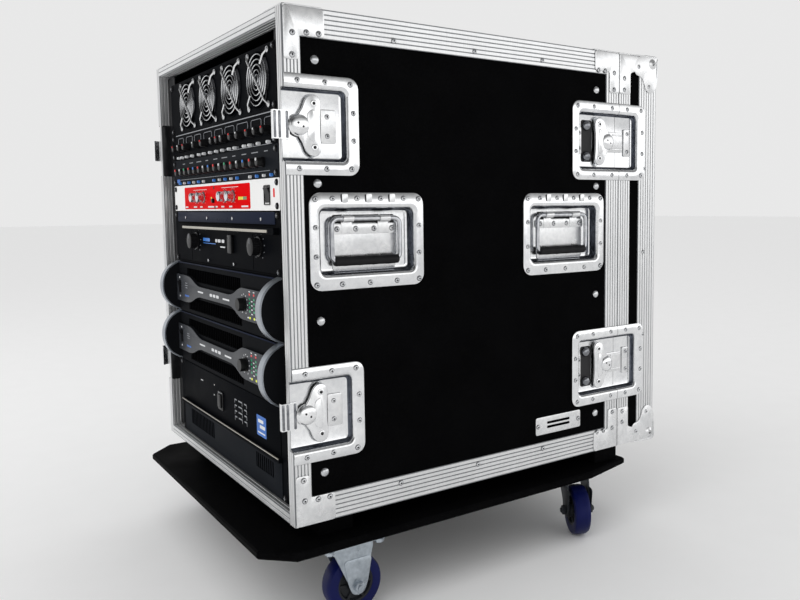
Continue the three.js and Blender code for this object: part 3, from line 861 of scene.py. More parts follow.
    def build_rails(self) -> None:
        """Punched square holes down the front of the rack rails."""
        rail = Box.of("rack_rail_right")
        holes, depth = [], rail.lo.y
        count = int((rail.hi.z - rail.lo.z) // (RACK_UNIT / 3))
        for _, sign in SIDES:
            for i in range(count):
                z = rail.lo.z + 6 + i * RACK_UNIT / 3
                holes.append(front_face(z, depth).spot(sign * RACK_HOLE, 0, 0))
        hole = BENCH.plate(GROUND, round_rect(-4.6, 4.6, -4.6, 4.6, .8, 1), -.2, .15)
        BENCH.finish(BENCH.scatter(hole, holes), "rail_square_holes", "case", VENT)

    def dress(self) -> None:
        """Finishes the CAD panels, frames and rails."""
        for node in ("right_side_panel", "left_side_panel", "top_panel", "bottom_panel"):
            BENCH.dress(node, LAMINATE)
        # Painted shade: the frames wear the darker aluminium.
        for node in ("front_edge_frame", "body_edge_angles"):
            BENCH.dress(node, GROOVE_SHADE)
        for side, _ in SIDES:
            BENCH.dress(f"rack_rail_{side}", RAIL)

    def build(self) -> None:
        """Builds and dresses the body."""
        self.dress()
        self.build_edges()
        self.build_braces()
        self.build_rivets()
        self.build_label()
        self.build_rails()


# --- rear lid
@dataclass
class RearLid:
    """Lid with a seam frame, a black waist, ribbed rear angles and ball corners."""

    seam_start: float = field(default=Box.of("lid_seam_frame").lo.y - FRONT_Y)
    seam_end: float = field(default=Box.of("lid_seam_frame").hi.y - FRONT_Y)
    outer_start: float = field(default=REAR_Y - FRONT_Y)
    outer_end: float = field(default=LID_Y - FRONT_Y)
    height: float = field(default=TOP - BASE)
    edge: float = 42.0
    ball: float = 16.0
    ball_inset: float = 11.0
    case: RackCase = field(default_factory=RackCase)

    def build_edges(self) -> None:
        """Ribbed lands on the seam frame and round the back."""
        lands, h = [], self.height
        for _, sign in SIDES:
            face = side_face(sign)
            for v0, v1 in self.case.clear_runs():
                lands.append(EDGE.lands(face, self.seam_start + .2, self.seam_end, v0, v1, 5))
            lands.append(EDGE.lands(face, self.outer_start, self.outer_end - .6, 0, h, 7))
            a, b = sorted((sign * (HALF - .6), sign * (HALF - self.edge)))
            lands.append(EDGE.lands(REAR_FACE, a, b, self.edge, h - self.edge, 7))
        for u0, u1, n in ((self.seam_start + .2, self.seam_end, 5),
                          (self.outer_start, self.outer_end - .6, 7)):
            lands.append(EDGE.lands(TOP_FACE, -HALF + .6, HALF - .6, u0, u1, n, False))
        for v0, v1 in ((.6, self.edge), (h - self.edge, h - .6)):
            lands.append(EDGE.lands(REAR_FACE, -HALF + .6, HALF - .6, v0, v1, 7, False))
        BENCH.finish(lands, "edge_lands_lid", "rear_lid", LAND, smooth=20)

    def corner(self, sign: int, up: int) -> tuple[Body, list[Matrix]]:
        """One ball corner: three lobed plates that meet under a ball.

        Args:
            sign: 1 for the right side, -1 for the left.
            up: 1 for the top, -1 for the bottom.

        Returns:
            The corner as one body, and its rivet spots.
        """
        h = self.height
        lobes = [(-3, -3), (30, -3), (44, 0), (52, 9), (58, 20), (52, 33), (38, 34), (31, 44),
                 (28, 55), (18, 62), (6, 58), (-1, 46), (-3, 30)]
        side = side_face(sign).moved(self.outer_end, h if up > 0 else 0)
        rear = REAR_FACE.moved(sign * HALF, h if up > 0 else 0)
        flat = TOP_FACE if up > 0 else Face(Vector((0, FRONT_Y, BASE)), X, Y, -Z)
        cap = flat.moved(sign * HALF, self.outer_end)
        bodies, spots = [], []
        for face, su, sv in ((side, -1, -up), (rear, -sign, -up), (cap, -sign, -1)):
            outline = softened([(su * u, sv * v) for u, v in lobes], 8, 3)
            bodies.append(BENCH.plate(face, outline, .3, 2.2, .6))
            for u, v in ((45, 18), (19, 50)):
                spots.append(face.spot(su * u, sv * v, 2.0))
        r, inset = self.ball, self.ball_inset
        face = side.moved(-inset, -up * inset, -inset)
        rings = [(r * math.sin(math.radians(t)), -r * math.cos(math.radians(t)))
                 for t in range(12, 170, 13)]
        rings += [(3.2, r * .985), (3.0, r * .6)]
        bodies.append(BENCH.turned(face, 0, 0, rings, 28))
        return BENCH.join(bodies), spots

    def build_corners(self) -> None:
        """Four ball corners, and the braces where the seam frame meets them."""
        bodies, spots, plates = [], [], []
        for _, sign in SIDES:
            face = side_face(sign)
            for up in (1, -1):
                body, rivets = self.corner(sign, up)
                bodies.append(body)
                spots += rivets
                v0 = self.height - .4 if up > 0 else .4
                v1 = v0 - up * 66.0
                plates.append(BENCH.plate(face, softened(
                    [(self.seam_start + .4, v0), (self.outer_start + 10, v0),
                     (self.outer_start + 4, v0 - up * 22), (self.seam_end - 1.5, v0 - up * 30),
                     (self.seam_end - 1.5, v1), (self.seam_start + .4, v1)], 4), .5, 2.1, .5))
                spots += [face.spot(self.seam_start + 12, v1 + up * s, 2.1)
                          for s in (7, 26)]
            x0 = sign * (HALF - 1.0)
            a, b = sorted((x0, x0 - sign * 62))
            plates.append(BENCH.plate(TOP_FACE, round_rect(a, b, self.seam_start + .4,
                                                           self.outer_start + 8, 4), .5, 2.1, .5))
            spots += [TOP_FACE.spot(x0 - sign * s, self.seam_start + 13, 2.1)
                      for s in (12, 48)]
        BENCH.finish(bodies, "ball_corners", "rear_lid", BRACE)
        BENCH.finish(plates, "corner_braces_lid", "rear_lid", BRACE)
        for _, sign in SIDES:
            for v in (335.0, 480.0, 190.0):
                spots.append(side_face(sign).spot(self.outer_start + 13, v, EDGE.lift))
                spots.append(REAR_FACE.spot(sign * (HALF - 21), v, EDGE.lift))
        for u in (-190.0, -65.0, 65.0, 190.0):
            spots.append(TOP_FACE.spot(u, self.outer_start + 21, EDGE.lift))
            for v in (21.0, self.height - 21.0):
                spots.append(REAR_FACE.spot(u, v, EDGE.lift))
        RIVETS.heads("lid_rivets", "rear_lid", spots)

    def build(self) -> None:
        """Builds and dresses the lid."""
        BENCH.dress("lid_tray", LAMINATE)
        # Painted shade: the lid frames wear the darker aluminium.
        for node in ("lid_seam_frame", "lid_rear_angles"):
            BENCH.dress(node, GROOVE_SHADE)
        self.build_edges()
        self.build_corners()


# --- recessed handles
@dataclass
class RecessedHandle:
    """Spring handle in a pressed dish: rolled rim, hinge plate, wire bail and rubber grip."""

    side: str
    place: str
    sign: int
    plate: Flat = (174.0, 129.0)
    pan: Flat = (142.0, 86.0)
    pan_depth: float = 15.0
    rim: float = 1.6
    half: float = 52.0
    drop: float = 57.0
    wire: float = 3.4
    grip: float = 6.4

    @property
    def tag(self) -> str:
        """Side and place as the CAD names them."""
        return f"{self.side}_{self.place}"

    def __post_init__(self) -> None:
        """Finds the handle's own plane from its CAD dish."""
        mid = Box.of(f"handle_dish_{self.tag}").mid
        self.face = Face(Vector((self.sign * HALF, mid.y, mid.z)), Y, Z, X * self.sign)
        axis = joint_spot(f"handle_{self.tag}_lift")
        self.axis_v, self.axis_d = axis.z - mid.z, abs(axis.x) - HALF

    def loops(self, steps: list[tuple[Flat, float, float, float]]) -> list[list[Vector]]:
        """Round-cornered loops of the dish.

        Args:
            steps: (size, how much larger, corner radius, height) of each loop.

        Returns:
            The loops in order.
        """
        made = []
        for (w, h), grow, r, d in steps:
            w, h = w + grow, h + grow
            made.append([self.face.at(u, v, d) for u, v in round_rect(-w / 2, w / 2, -h / 2, h / 2, r, 6)])
        return made

    def build_dish(self) -> None:
        """Flange with a soft rim that rolls down into the pan."""
        plate, pan, deep, rim = self.plate, self.pan, self.pan_depth, self.rim
        steps = [(pan, -8, 4, -deep - 1.2), (pan, 2.4, 9, -deep - 1.2), (pan, 2.4, 9, -1.6),
                 (plate, -2, 15, -1.6), (plate, 0, 16, -.8), (plate, 0, 16, .1), (plate, -1.6, 15.2, .8),
                 (pan, 15, 13, rim), (pan, 10, 11.5, rim + .2), (pan, 6, 10, rim - .5),
                 (pan, 2.6, 9, rim - 2.2), (pan, .6, 8.4, -2.6), (pan, 0, 8, -deep + 5),
                 (pan, -2.2, 7, -deep + 1.6), (pan, -7, 5, -deep + .1), (pan, -12, 4, -deep)]
        BENCH.finish(BENCH.loft(self.loops(steps)), f"dish_{self.tag}", "case", PLATED,
                     f"handle_dish_{self.tag}", smooth=60)

    def build_pan_shade(self) -> None:
        """Painted shade on the wall of the pan: a dark metal skin just inside the pressed one."""
        pan, deep = self.pan, self.pan_depth
        steps = [(pan, -.5, 8, -3.4), (pan, -.5, 8, -deep + 5), (pan, -2.9, 7, -deep + 2),
                 (pan, -5.6, 5.6, -deep + .9), (pan, -5.2, 5.6, -deep + 1.3), (pan, -3.3, 7, -deep + 2.4),
                 (pan, -1.1, 8, -deep + 5.2), (pan, -1.1, 8, -3.2)]
        BENCH.finish(BENCH.loft(self.loops(steps), ring=True), f"pan_wall_shade_{self.tag}", "case", PAN_WALL_SHADE,
                     smooth=60)

    def build_hinge(self) -> None:
        """Hinge plate, its rod and the two rolled lugs that carry the bail."""
        face, v0, d0 = self.face, self.axis_v, self.axis_d
        parts = [BENCH.plate(face, round_rect(-48, 48, -41, v0 - 8, 5), -self.pan_depth + .3,
                             -self.pan_depth + 1.5, .4),
                 BENCH.plate(face, round_rect(-50, 50, v0 - 21, v0 - 7, 4), -self.pan_depth + 1.2,
                             -self.pan_depth + 3.4, .6)]
        for s in (-1, 1):
            roll = [face.at(s * 36, v0, d0), face.at(s * 20, v0, d0)]
            parts.append(BENCH.bevel(BENCH.rod(roll, self.wire + 1.9, sides=18), .7))
            parts.append(BENCH.plate(face, rect(s * 28 - 8, s * 28 + 8, v0 - 20, v0 - 2),
                                     d0 - 5.4, d0 - 3.6, .4))
        BENCH.finish(parts, f"hinge_plate_{self.tag}", "case", BRACE)
        # Painted shade: a dark plate on the pan floor stands for the shade in the gap along the hinge rod.
        gap = BENCH.plate(face, round_rect(-47, 47, v0 - 6.6, v0 + 5, 2), -self.pan_depth + .2,
                          -self.pan_depth + .7)
        BENCH.finish(gap, f"hinge_gap_shade_{self.tag}", "case", HOLE_SHADE)
        spots = [face.spot(u, v0 - 14, -self.pan_depth + 3.3) for u in (-42, -14, 14, 42)]
        a, b = self.plate[0] / 2 - 8.5, self.plate[1] / 2 - 8.5
        ring = [(-a, b), (a, b), (-a, -b), (a, -b), (-a, -19), (-a, 19), (a, -19), (a, 19)]
        ring += [(u, -b - .5) for u in (-42, 0, 42)] + [(u, b + .5) for u in (-54, -18, 18, 54)]
        spots += [face.spot(u, v, self.rim - .3) for u, v in ring]
        RIVETS.heads(f"handle_rivets_{self.tag}", "case", spots)
        lugs = [BENCH.plate(face, softened([(u - 4.5, b + 7), (u - 4.5, b - 5), (u + 4.5, b - 5),
                                            (u + 4.5, b + 7)], 2.5), self.rim - .6, self.rim + .9, .4)
                for u in (-36, 0, 36)]
        BENCH.finish(lugs, f"folded_lugs_{self.tag}", "case", BRACE)
        # Painted shade: dark plates stand for the shade in the lugs' slots.
        slot_shades = [BENCH.plate(face, round_rect(u - 5.5, u - 4.3, b - 4, b + 6, .5, 2), self.rim - .6,
                             self.rim + .5) for u in (-36, 0, 36)]
        BENCH.finish(slot_shades, f"lug_slot_shade_{self.tag}", "case", HOLE_SHADE)

    def build_bail(self) -> None:
        """Wire bail with round corners, and the ribbed rubber grip on it."""
        face, v0, d0 = self.face, self.axis_v, self.axis_d
        r, low = 9.0, self.axis_v - self.drop
        path = [(-self.half + 8, v0)]
        for cu, cv, start in ((-self.half + r, v0 - r, 90), (-self.half + r, low + r, 180),
                              (self.half - r, low + r, 270), (self.half - r, v0 - r, 0)):
            for i in range(6):
                t = math.radians(start + 18 * i)
                path.append((cu + r * math.cos(t), cv + r * math.sin(t)))
        path.append((self.half - 8, v0))
        points = [face.at(u, v, d0) for u, v in path]
        body = f"handle_{self.tag}"
        BENCH.finish(BENCH.rod(points, self.wire, ring=True, sides=12), f"bail_wire_{self.tag}", body,
                     BAIL, f"handle_bail_{self.tag}", smooth=60)
        loops, ends = [], self.half - 3
        bump = [(-ends, .8), (-ends + 1, .96)]
        for i in range(9):
            u = -ends + 6 + i * (2 * ends - 12) / 8
            bump += [(u - 3.4, 1.0), (u - 2.2, 1.05 if i % 2 else 1.0)]
        bump += [(ends - 1, .96), (ends, .8)]
        for u, k in bump:
            loops.append([face.at(u, low + b * self.grip * k, d0 + a * self.grip * k)
                          for a, b in circle(1.0, 18)])
        BENCH.finish(BENCH.loft(loops), f"bail_grip_{self.tag}", body, GRIP, smooth=50)

    def build(self) -> None:
        """Builds and dresses the handle."""
        self.build_dish()
        self.build_pan_shade()
        self.build_hinge()
        self.build_bail()


# --- twist latches
@dataclass(frozen=True)
class LatchSite:
    """One latch level of a side, for its front and its rear latch."""

    face: Face
    side: str
    level: str

    @staticmethod
    def all() -> list["LatchSite"]:
        """The four latch levels, right side first; the same planes serve front and rear."""
        sites = []
        for side, sign in SIDES:
            for level in ("top", "bottom"):
                z = joint_spot(f"wing_{side}_front_{level}_turn").z
                sites.append(LatchSite(side_face(sign).moved(0, z - BASE), side, level))
        return sites

    def name(self, pattern: str) -> str:
        """Fills a side and a level into a name such as wing_{side}_front_{level}."""
        return pattern.format(side=self.side, level=self.level)


@dataclass
class TwistLatch:
    """Recessed butterfly latch: pressed dish, turning wing, hook, keeper and rivets."""

    sites: list[LatchSite] = field(default_factory=LatchSite.all)
    half: float = 63.5
    pan_half: float = 45.8
    floor: float = -8.82
    front_end: float = 104.0
    front_pan: float = 86.4
    rear_span: Flat = (490.0, 659.0)
    rear_pan: Flat = (505.8, 639.0)
    pivot: float = 22.0
    seam: float = field(default=Box.of("body_edge_angles").hi.y - FRONT_Y)
    seam_gap: float = 0.7
    corner: float = 14.0
    case: RackCase = field(default_factory=RackCase)

    def spread(self, master: Body, name: str, rides: str, finish: Finish,
               *stands_for: str, smooth: float = 40.0) -> None:
        """Copies a master from the first site to every site and finishes the copies.

        Args:
            master: the piece modelled at the first site.
            name, rides: patterns with {side} and {level}.
            finish: its finish.
            stands_for: patterns of the CAD nodes that it replaces.
            smooth: edges under this angle are shaded smooth.
        """
        home = self.sites[0].face.matrix().inverted()
        for site in self.sites:
            twin = BENCH.copy(master, site.face.matrix() @ home)
            BENCH.finish(twin, site.name(name), site.name(rides), finish,
                         *(site.name(node) for node in stands_for), smooth=smooth)
        bpy.data.objects.remove(master)

    def rivets(self, name: str, rides: str, spots: list[Spot]) -> None:
        """Rivets at (u, v, d) of every site; one piece for each carrying body."""
        groups: dict[str, list[Matrix]] = {}
        for site in self.sites:
            heads = [site.face.spot(u, v, d) for u, v, d in spots]
            groups.setdefault(site.name(rides), []).extend(heads)
        for i, (body, heads) in enumerate(groups.items()):
            RIVETS.heads(f"{name}_{i + 1}", body, heads)

    def dish(self, flange: Flat, pan: Flat) -> Body:
        """Pressed dish at the first site.

        Args:
            flange: its ends along the case.
            pan: ends of the recess.

        Returns:
            The dish with its flange, rolled rim, wall and floor.
        """
        face, h, p = self.sites[0].face, self.half, self.pan_half

        def rim(inset: float, d: float) -> list[Vector]:
            """Loop inside the flange's outline."""
            outline = round_rect(flange[0] + inset, flange[1] - inset, -h + inset, h - inset,
                                 self.corner - inset, 5)
            return [face.at(u, v, d) for u, v in outline]

        def well(grow: float, d: float) -> list[Vector]:
            """Loop round the recess, grown outwards."""
            outline = round_rect(pan[0] - grow, pan[1] + grow, -p - grow, p + grow,
                                 max(7 + grow, 2.5), 5)
            return [face.at(u, v, d) for u, v in outline]

        return BENCH.loft([well(.5, self.floor - .12), well(.5, -.3), rim(1, -.3), rim(0, .3), rim(0, 1.2),
                           rim(1.4, 1.9), well(10, 1.9), well(6, 2.2), well(3, 1.7), well(1, .2),
                           well(.1, -1.6), well(-.2, -5.6), well(-1.8, self.floor + 1),
                           well(-5, self.floor)])

    def shade_lining(self, pan: Flat) -> Body:
        """Dark metal skin that paints shade on the wall of a recess at the first site."""
        face, p, f = self.sites[0].face, self.pan_half, self.floor
        loops = []
        for grow, d in ((-.6, -2.2), (-.9, -5.6), (-2.4, f + 1.3), (-3.6, f + .7), (-3.2, f + 1.1),
                        (-2.0, f + 1.8), (-1.4, -5.4), (-1.1, -2.0)):
            outline = round_rect(pan[0] - grow, pan[1] + grow, -p - grow, p + grow, 5, 5)
            loops.append([face.at(u, v, d) for u, v in outline])
        return BENCH.loft(loops, ring=True)

    def part_at_seam(self, body: Body, near: str, far: str, finish: Finish) -> None:
        """Parts a rear piece at the seam, for every site.

        Args:
            body: the whole piece at the first site.
            near: name pattern of the end on the case.
            far: name pattern of the end on the lid.
            finish: the finish of both.
        """
        face, end = self.sites[0].face, BENCH.copy(body, Matrix.Identity(4))
        BENCH.halve(body, face.at(self.seam - .1, 0), face.across)
        BENCH.halve(end, face.at(self.seam + self.seam_gap, 0), -face.across)
        self.spread(body, near, "case", finish, smooth=60)
        self.spread(end, far, "rear_lid", finish, smooth=60)

    def build_dishes(self) -> None:
        """Front dishes open towards the opening; rear dishes are parted at the seam."""
        face, pan = self.sites[0].face, (-30.0, self.front_pan)
        dish = BENCH.halve(self.dish((-44.0, self.front_end), pan), face.at(.4, 0), -face.across)
        self.spread(dish, "latch_dish_{side}_front_{level}", "case", PLATED, smooth=60)
        # Painted shade: dark skins on the walls of the front and rear pans.
        wall = BENCH.halve(self.shade_lining(pan), face.at(.6, 0), -face.across)
        self.spread(wall, "latch_wall_{side}_front_{level}", "case", PAN_WALL_SHADE, smooth=60)
        self.part_at_seam(self.shade_lining(self.rear_pan), "latch_wall_{side}_rear_{level}",
                          "keeper_wall_{side}_{level}", PAN_WALL_SHADE)
        self.part_at_seam(self.dish(self.rear_span, self.rear_pan), "latch_dish_{side}_rear_{level}",
                          "keeper_dish_{side}_{level}", PLATED)

    def wing(self, pivot: float, way: int) -> list[Body]:
        """Butterfly with a domed boss, and painted shade in the pin holes of both.

        Args:
            pivot: where it turns, back from the opening.
            way: 1 if the wing points to the rear, -1 if to the front.

        Returns:
            The bright body and the painted shade of its holes.
        """
        face = self.sites[0].face.moved(pivot, 0)
        half = [(-3, -13), (4, -22), (7, -32), (13, -38.5), (21, -40), (27.5, -36), (29.8, -28), (28, -13)]
        outline = softened([(u * way, v) for u, v in half] +
                           [(u * way, -v) for u, v in reversed(half)], 5, 2)
        plate = BENCH.plate(face, outline, -5.2, -2.0, .9)
        rib = BENCH.plate(face, softened([(10 * way, -16), (20 * way, -22), (22 * way, 0),
                                          (20 * way, 22), (10 * way, 16)], 4, 2), -2.6, -1.3, .6)
        boss = BENCH.turned(face, 0, 0, [(9, -8.5), (9, -5.6), (14.6, -5.5), (14.6, -4.2), (13.2, -3.4),
                                         (12.8, -1.6), (11.2, -.3), (8, .7), (4, 1.3), (.8, 1.45)], 28)
        eyes = [BENCH.turned(face, 19.5 * way, s * 28, [(4.6, -2.4), (4.4, -1.2), (3.4, -.7), (2.3, -.9),
                                                        (2.1, -1.8)], 14) for s in (-1, 1)]
        # Painted shade: dark discs stand for the shade in the pin holes.
        dots = [BENCH.turned(face, u, v, [(r, d), (r, d + .3), (r * .6, d + .4)], 10)
                for u, v, r, d in ((19.5 * way, 28, 2.0, -1.9), (19.5 * way, -28, 2.0, -1.9),
                                   (-3.4, 2.2, 1.5, 1.1), (3.4, -2.2, 1.5, 1.1))]
        return [BENCH.join([plate, rib, boss, *eyes]), BENCH.join(dots)]

    def build_wings(self) -> None:
        """Front and rear wings, each on its own turning body."""
        for place, pivot, way in (("front", self.pivot, 1), ("rear", self.seam - self.pivot, -1)):
            bright, dark = self.wing(pivot, way)
            body = "wing_{side}_" + place + "_{level}"
            self.spread(bright, "wing_plate_{side}_" + place + "_{level}", body, PLATED,
                        "latch_" + body, smooth=50)
            self.spread(dark, "wing_holes_{side}_" + place + "_{level}", body, HOLE_SHADE)

    def build_backs(self) -> None:
        """Back of each front dish where it comes through the frame's inner face, near-black for painted
        shade.
        """
        wall = HALF - self.case.wall
        for site in self.sites:
            origin = site.face.origin - site.face.out * (HALF - wall)
            inner = Face(origin, site.face.across, Z, -site.face.out)
            outline = round_rect(.4, self.case.front_band - 1, -46, 46, 3)
            back = BENCH.plate(inner, outline, -.1, 1.9, .7)
            BENCH.finish(back, site.name("latch_back_{side}_{level}"), "case", LATCH_BACK_SHADE)

    def build_hooks(self) -> None:
        """Ridges on the sliding front hooks, and the rear hooks that reach over the seam."""
        face = self.sites[0].face
        front = [BENCH.plate(face, round_rect(u - 1.7, u + 1.7, -17, 17, 1.2, 2), -6.4, -5.3, .4)
                 for u in (-9.8, -3.6, 6.4)]
        self.spread(BENCH.join(front), "hook_ridges_{side}_{level}", "hook_{side}_front_{level}", SPRING)
        for site in self.sites:
            BENCH.dress(site.name("latch_hook_{side}_front_{level}"), PLATED)
        s = self.seam
        rear = [BENCH.plate(face, round_rect(s - 20, s + 17, -17, 17, 3), self.floor + .2, -6.8, .5)]
        rear += [BENCH.plate(face, round_rect(s - 8, s + 16, v - 1.3, v + 1.3, 1.1, 2), -7, -6.1, .4)
                 for v in (-12, 12)]
        self.spread(BENCH.join(rear), "hook_plate_{side}_rear_{level}", "case", BRACE)

    def build_keepers(self) -> None:
        """Riveted plates in the dishes, and painted shade in the spring slot of the rear latches."""
        face, s, f = self.sites[0].face, self.seam, self.floor
        self.spread(BENCH.plate(face, round_rect(53, 75, -22, 22, 3), f + .1, f + 1.9, .5),
                    "base_plate_{side}_front_{level}", "case", BRACE)
        self.spread(BENCH.plate(face, round_rect(s + 20, s + 36, -23, 23, 3), f + .1, f + 2.4, .6),
                    "keeper_plate_{side}_{level}", "rear_lid", BRACE)
        self.spread(BENCH.plate(face, round_rect(507.5, 516.5, -22, 22, 2), f + .1, f + 1.9, .5),
                    "base_plate_{side}_rear_{level}", "case", BRACE)
        # Painted shade: a dark plate on the pan floor stands for the shade in the spring slot.
        self.spread(BENCH.plate(face, round_rect(517.5, 541, -34, 34, 4), f + .1, f + .5),
                    "spring_slot_{side}_{level}", "case", HOLE_SHADE)
        bulbs = []
        for v in (-1, 1):
            spring = [(8.2, -8.6), (8.4, -7.2), (7.8, -5.2), (6.0, -3.4), (3.2, -2.4), (.8, -2.2)]
            bulbs.append(BENCH.turned(face, 528, v * 25, spring, 20))
        self.spread(BENCH.join(bulbs), "spring_ends_{side}_{level}", "case", SPRING, smooth=50)
        self.rivets("latch_rivets_front", "case", [(u, v, 1.8) for u in (18, 56, 92) for v in (-55, 55)] +
                    [(95.5, -18, 1.8), (95.5, 18, 1.8), (62, -12.5, f + 1.7), (62, 12.5, f + 1.7)])
        self.rivets("latch_rivets_rear", "case", [(u, v, 1.8) for u in (501, 537, 579) for v in (-55, 55)] +
                    [(497, -18, 1.8), (497, 18, 1.8), (512, -12.5, f + 1.7), (512, 12.5, f + 1.7)])
        self.rivets("keeper_rivets", "rear_lid", [(u, v, 1.8) for u in (615, 649) for v in (-55, 55)] +
                    [(652, -18, 1.8), (652, 18, 1.8), (s + 28, -15, f + 2.2), (s + 28, 15, f + 2.2)])

    def build(self) -> None:
        """Builds all eight latches."""
        self.build_dishes()
        self.build_wings()
        self.build_hooks()
        self.build_keepers()
        self.build_backs()


# --- dolly
@dataclass
class Dolly:
    """Black board on four casters: blue elastic tyres, moulded hubs, nuts and bolts."""

    tyre: tuple[Flat, ...] = ((27, -12.6), (36, -13.6), (39.6, -12.6), (41.4, -9.4), (42, -5), (42, 5),
                              (41.4, 9.4), (39.6, 12.6), (36, 13.6), (27, 12.6))
    hub: tuple[Flat, ...] = ((4.4, -15.6), (10.5, -15.6), (12, -14.4), (13, -9), (22, -8), (24, -11.6),
                             (27.2, -12.2), (27.2, 12.2), (24, 11.6), (22, 8), (13, 9), (12, 14.4),
                             (10.5, 15.6), (4.4, 15.6))
    cheek: float = 20.2
    nut: float = 8.0

    def wheel_face(self, name: str) -> Face:
        """Plane across a wheel at its centre, with its axle as the outward way."""
        axle = Vector(joint(name)["axis"]).normalized()
        return Face(joint_spot(name), Z.cross(axle), Z, axle)

    def ring(self, face: Face, profile: tuple[Flat, ...], sides: int) -> Body:
        """Ring with a bore from a closed (radius, depth) profile."""
        return BENCH.loft([[face.at(a, b, d) for a, b in circle(r, sides)] for r, d in profile], ring=True)

    def build_wheel(self, tag: str, holder: str) -> None:
        """Tyre, hub with its spokes, and the nuts on the axle.

        Args:
            tag: side and place, as the CAD names them.
            holder: the body of the fork.
        """
        face, body = self.wheel_face(f"wheel_{tag}_roll"), f"wheel_{tag}"
        # The rear wheels' nuts and cheeks wear the zinc darkened by painted shade.
        metal = ZINC if holder == "case" else ZINC_IN_SHADE
        BENCH.finish(self.ring(face, self.tyre, 48), f"tyre_{tag}", body, TYRE, f"caster_wheel_{tag}")
        parts = [self.ring(face, self.hub, 36)]
        for i in range(6):
            angle = i * math.pi / 3
            up = face.across * math.cos(angle) + face.up * math.sin(angle)
            spoke = Face(face.origin, up.cross(face.out), up, face.out)
            parts.append(BENCH.plate(spoke, rect(-2, 2, 11, 24), -11.4, 11.4, .6))
        BENCH.finish(parts, f"hub_{tag}", body, HUB)
        nuts, lips, cheek = [], [], self.cheek
        outline = softened([(-15, 3), (-8, -12), (8, -12), (15, 3), (22, 40), (-22, 40)], 7, 4)
        for s in (-1, 1):
            plane = Face(face.origin, face.across, face.up, face.out * s)
            for sides, profile in (
                    (20, [(10.5, cheek - .1), (10.5, cheek + 1.2)]),
                    (6, [(self.nut, cheek + 1), (self.nut, cheek + 6.4), (self.nut * .8, cheek + 7.4)]),
                    (14, [(4.1, cheek + 6), (4.1, cheek + 9), (3.4, cheek + 9.6)])):
                nuts.append(BENCH.turned(plane, 0, 0, profile, sides))
            lips.append(BENCH.plate(plane, outline, cheek - .4, cheek + .9, .5))
        BENCH.finish(nuts, f"axle_nuts_{tag}", holder, metal, smooth=25)
        BENCH.finish(lips, f"fork_cheeks_{tag}", holder, metal)

    def build_plates(self) -> None:
        """Swivel plates with their ball races behind, and the bolts through all four plates."""
        top = Box.of("dolly_board").lo.z
        plane = Face(Vector((0, 0, top)), X, Y, -Z)
        hexes, plates, races = [], [], []
        for side, _ in SIDES:
            wheel = joint_spot(f"wheel_{side}_front_roll")
            for dx in (-24, 24):
                for dy in (-44, 32):
                    hexes.append(plane.spot(wheel.x + dx, wheel.y + dy, 3.4))
            spot = joint_spot(f"swivel_{side}_turn")
            outline = round_rect(spot.x - 46, spot.x + 46, spot.y - 40, spot.y + 40, 8)
            plates.append(BENCH.plate(plane, outline, .1, 3.2, .6))
            for dx in (-36, 36):
                for dy in (-30, 30):
                    hexes.append(plane.spot(spot.x + dx, spot.y + dy, 3.1))
            races.append(BENCH.turned(plane, spot.x, spot.y, [(27, 3.1), (28, 5), (27, 7.4), (23, 8.6)], 30))
        BENCH.finish(BENCH.join(plates + races), "swivel_plates", "case", ZINC)
        head = BENCH.turned(GROUND, 0, 0, [(8.5, -.3), (8.5, 1.0), (6.6, 1.05), (6.6, 5), (5.4, 5.8)], 6)
        BENCH.finish(BENCH.scatter(head, hexes), "caster_bolts", "case", ZINC, smooth=25)

    def build(self) -> None:
        """Builds and dresses the dolly."""
        for node in ("dolly_board", "dolly_riser"):
            BENCH.dress(node, DOLLY)
        for side, _ in SIDES:
            for place in ("front", "rear"):
                tag = f"{side}_{place}"
                # Rear forks wear the zinc darkened by painted shade.
                BENCH.dress(f"caster_fork_{tag}", ZINC if place == "front" else ZINC_IN_SHADE)
                self.build_wheel(tag, "case" if place == "front" else f"swivel_{side}")
        self.build_plates()


# --- rack units
FACE_Y = Box.of("fan_panel").lo.y


@dataclass
class RackUnit:
    """A unit in the rack: its CAD node, its front plane and the parts every unit has."""

    node: str

    def __post_init__(self) -> None:
        """Finds the front plane from the CAD node."""
        box = Box.of(self.node)
        self.half = (box.hi.z - box.lo.z) / 2
        self.face = front_face(box.mid.z, FACE_Y)

    def marks(self, name: str, finish: Finish, bars: list[Bar],
              d: float = 0.0, rides: str = "case") -> None:
        """Printed bars a hair above a surface.

        Args:
            name: the piece's name.
            finish: its ink.
            bars: (centre u, centre v, width, height) of each bar.
            d: height of the printed surface.
            rides: the CAD body that carries them.
        """
        parts = [BENCH.plate(self.face, round_rect(u - w / 2, u + w / 2, v - h / 2, v + h / 2,
                                                   min(.2 * min(w, h), 1.0), 1), d - .1, d + .15)
                 for u, v, w, h in bars]
        BENCH.finish(parts, name, rides, finish)

    def studs(self, name: str, finish: Finish, profile: Outline, spots: list[Flat],
              sides: int = 12, d: float = 0.0) -> None:
        """Copies of one turned part over the front.

        Args:
            name: the piece's name.
            finish: its finish.
            profile: (radius, height) pairs.
            spots: (u, v) of each copy.
            sides: facets round each.
            d: height of the surface they stand on.
        """
        master = BENCH.turned(GROUND, 0, 0, profile, sides)
        BENCH.finish(BENCH.scatter(master, [self.face.spot(u, v, d) for u, v in spots]),
                     name, "case", finish)

    def screw_spots(self) -> list[Matrix]:
        """Where the rack screws stand in the ears."""
        v = self.half - 6.0
        return [self.face.spot(u, s * v, 0) for u in (-RACK_HOLE, RACK_HOLE) for s in (-1, 1)]


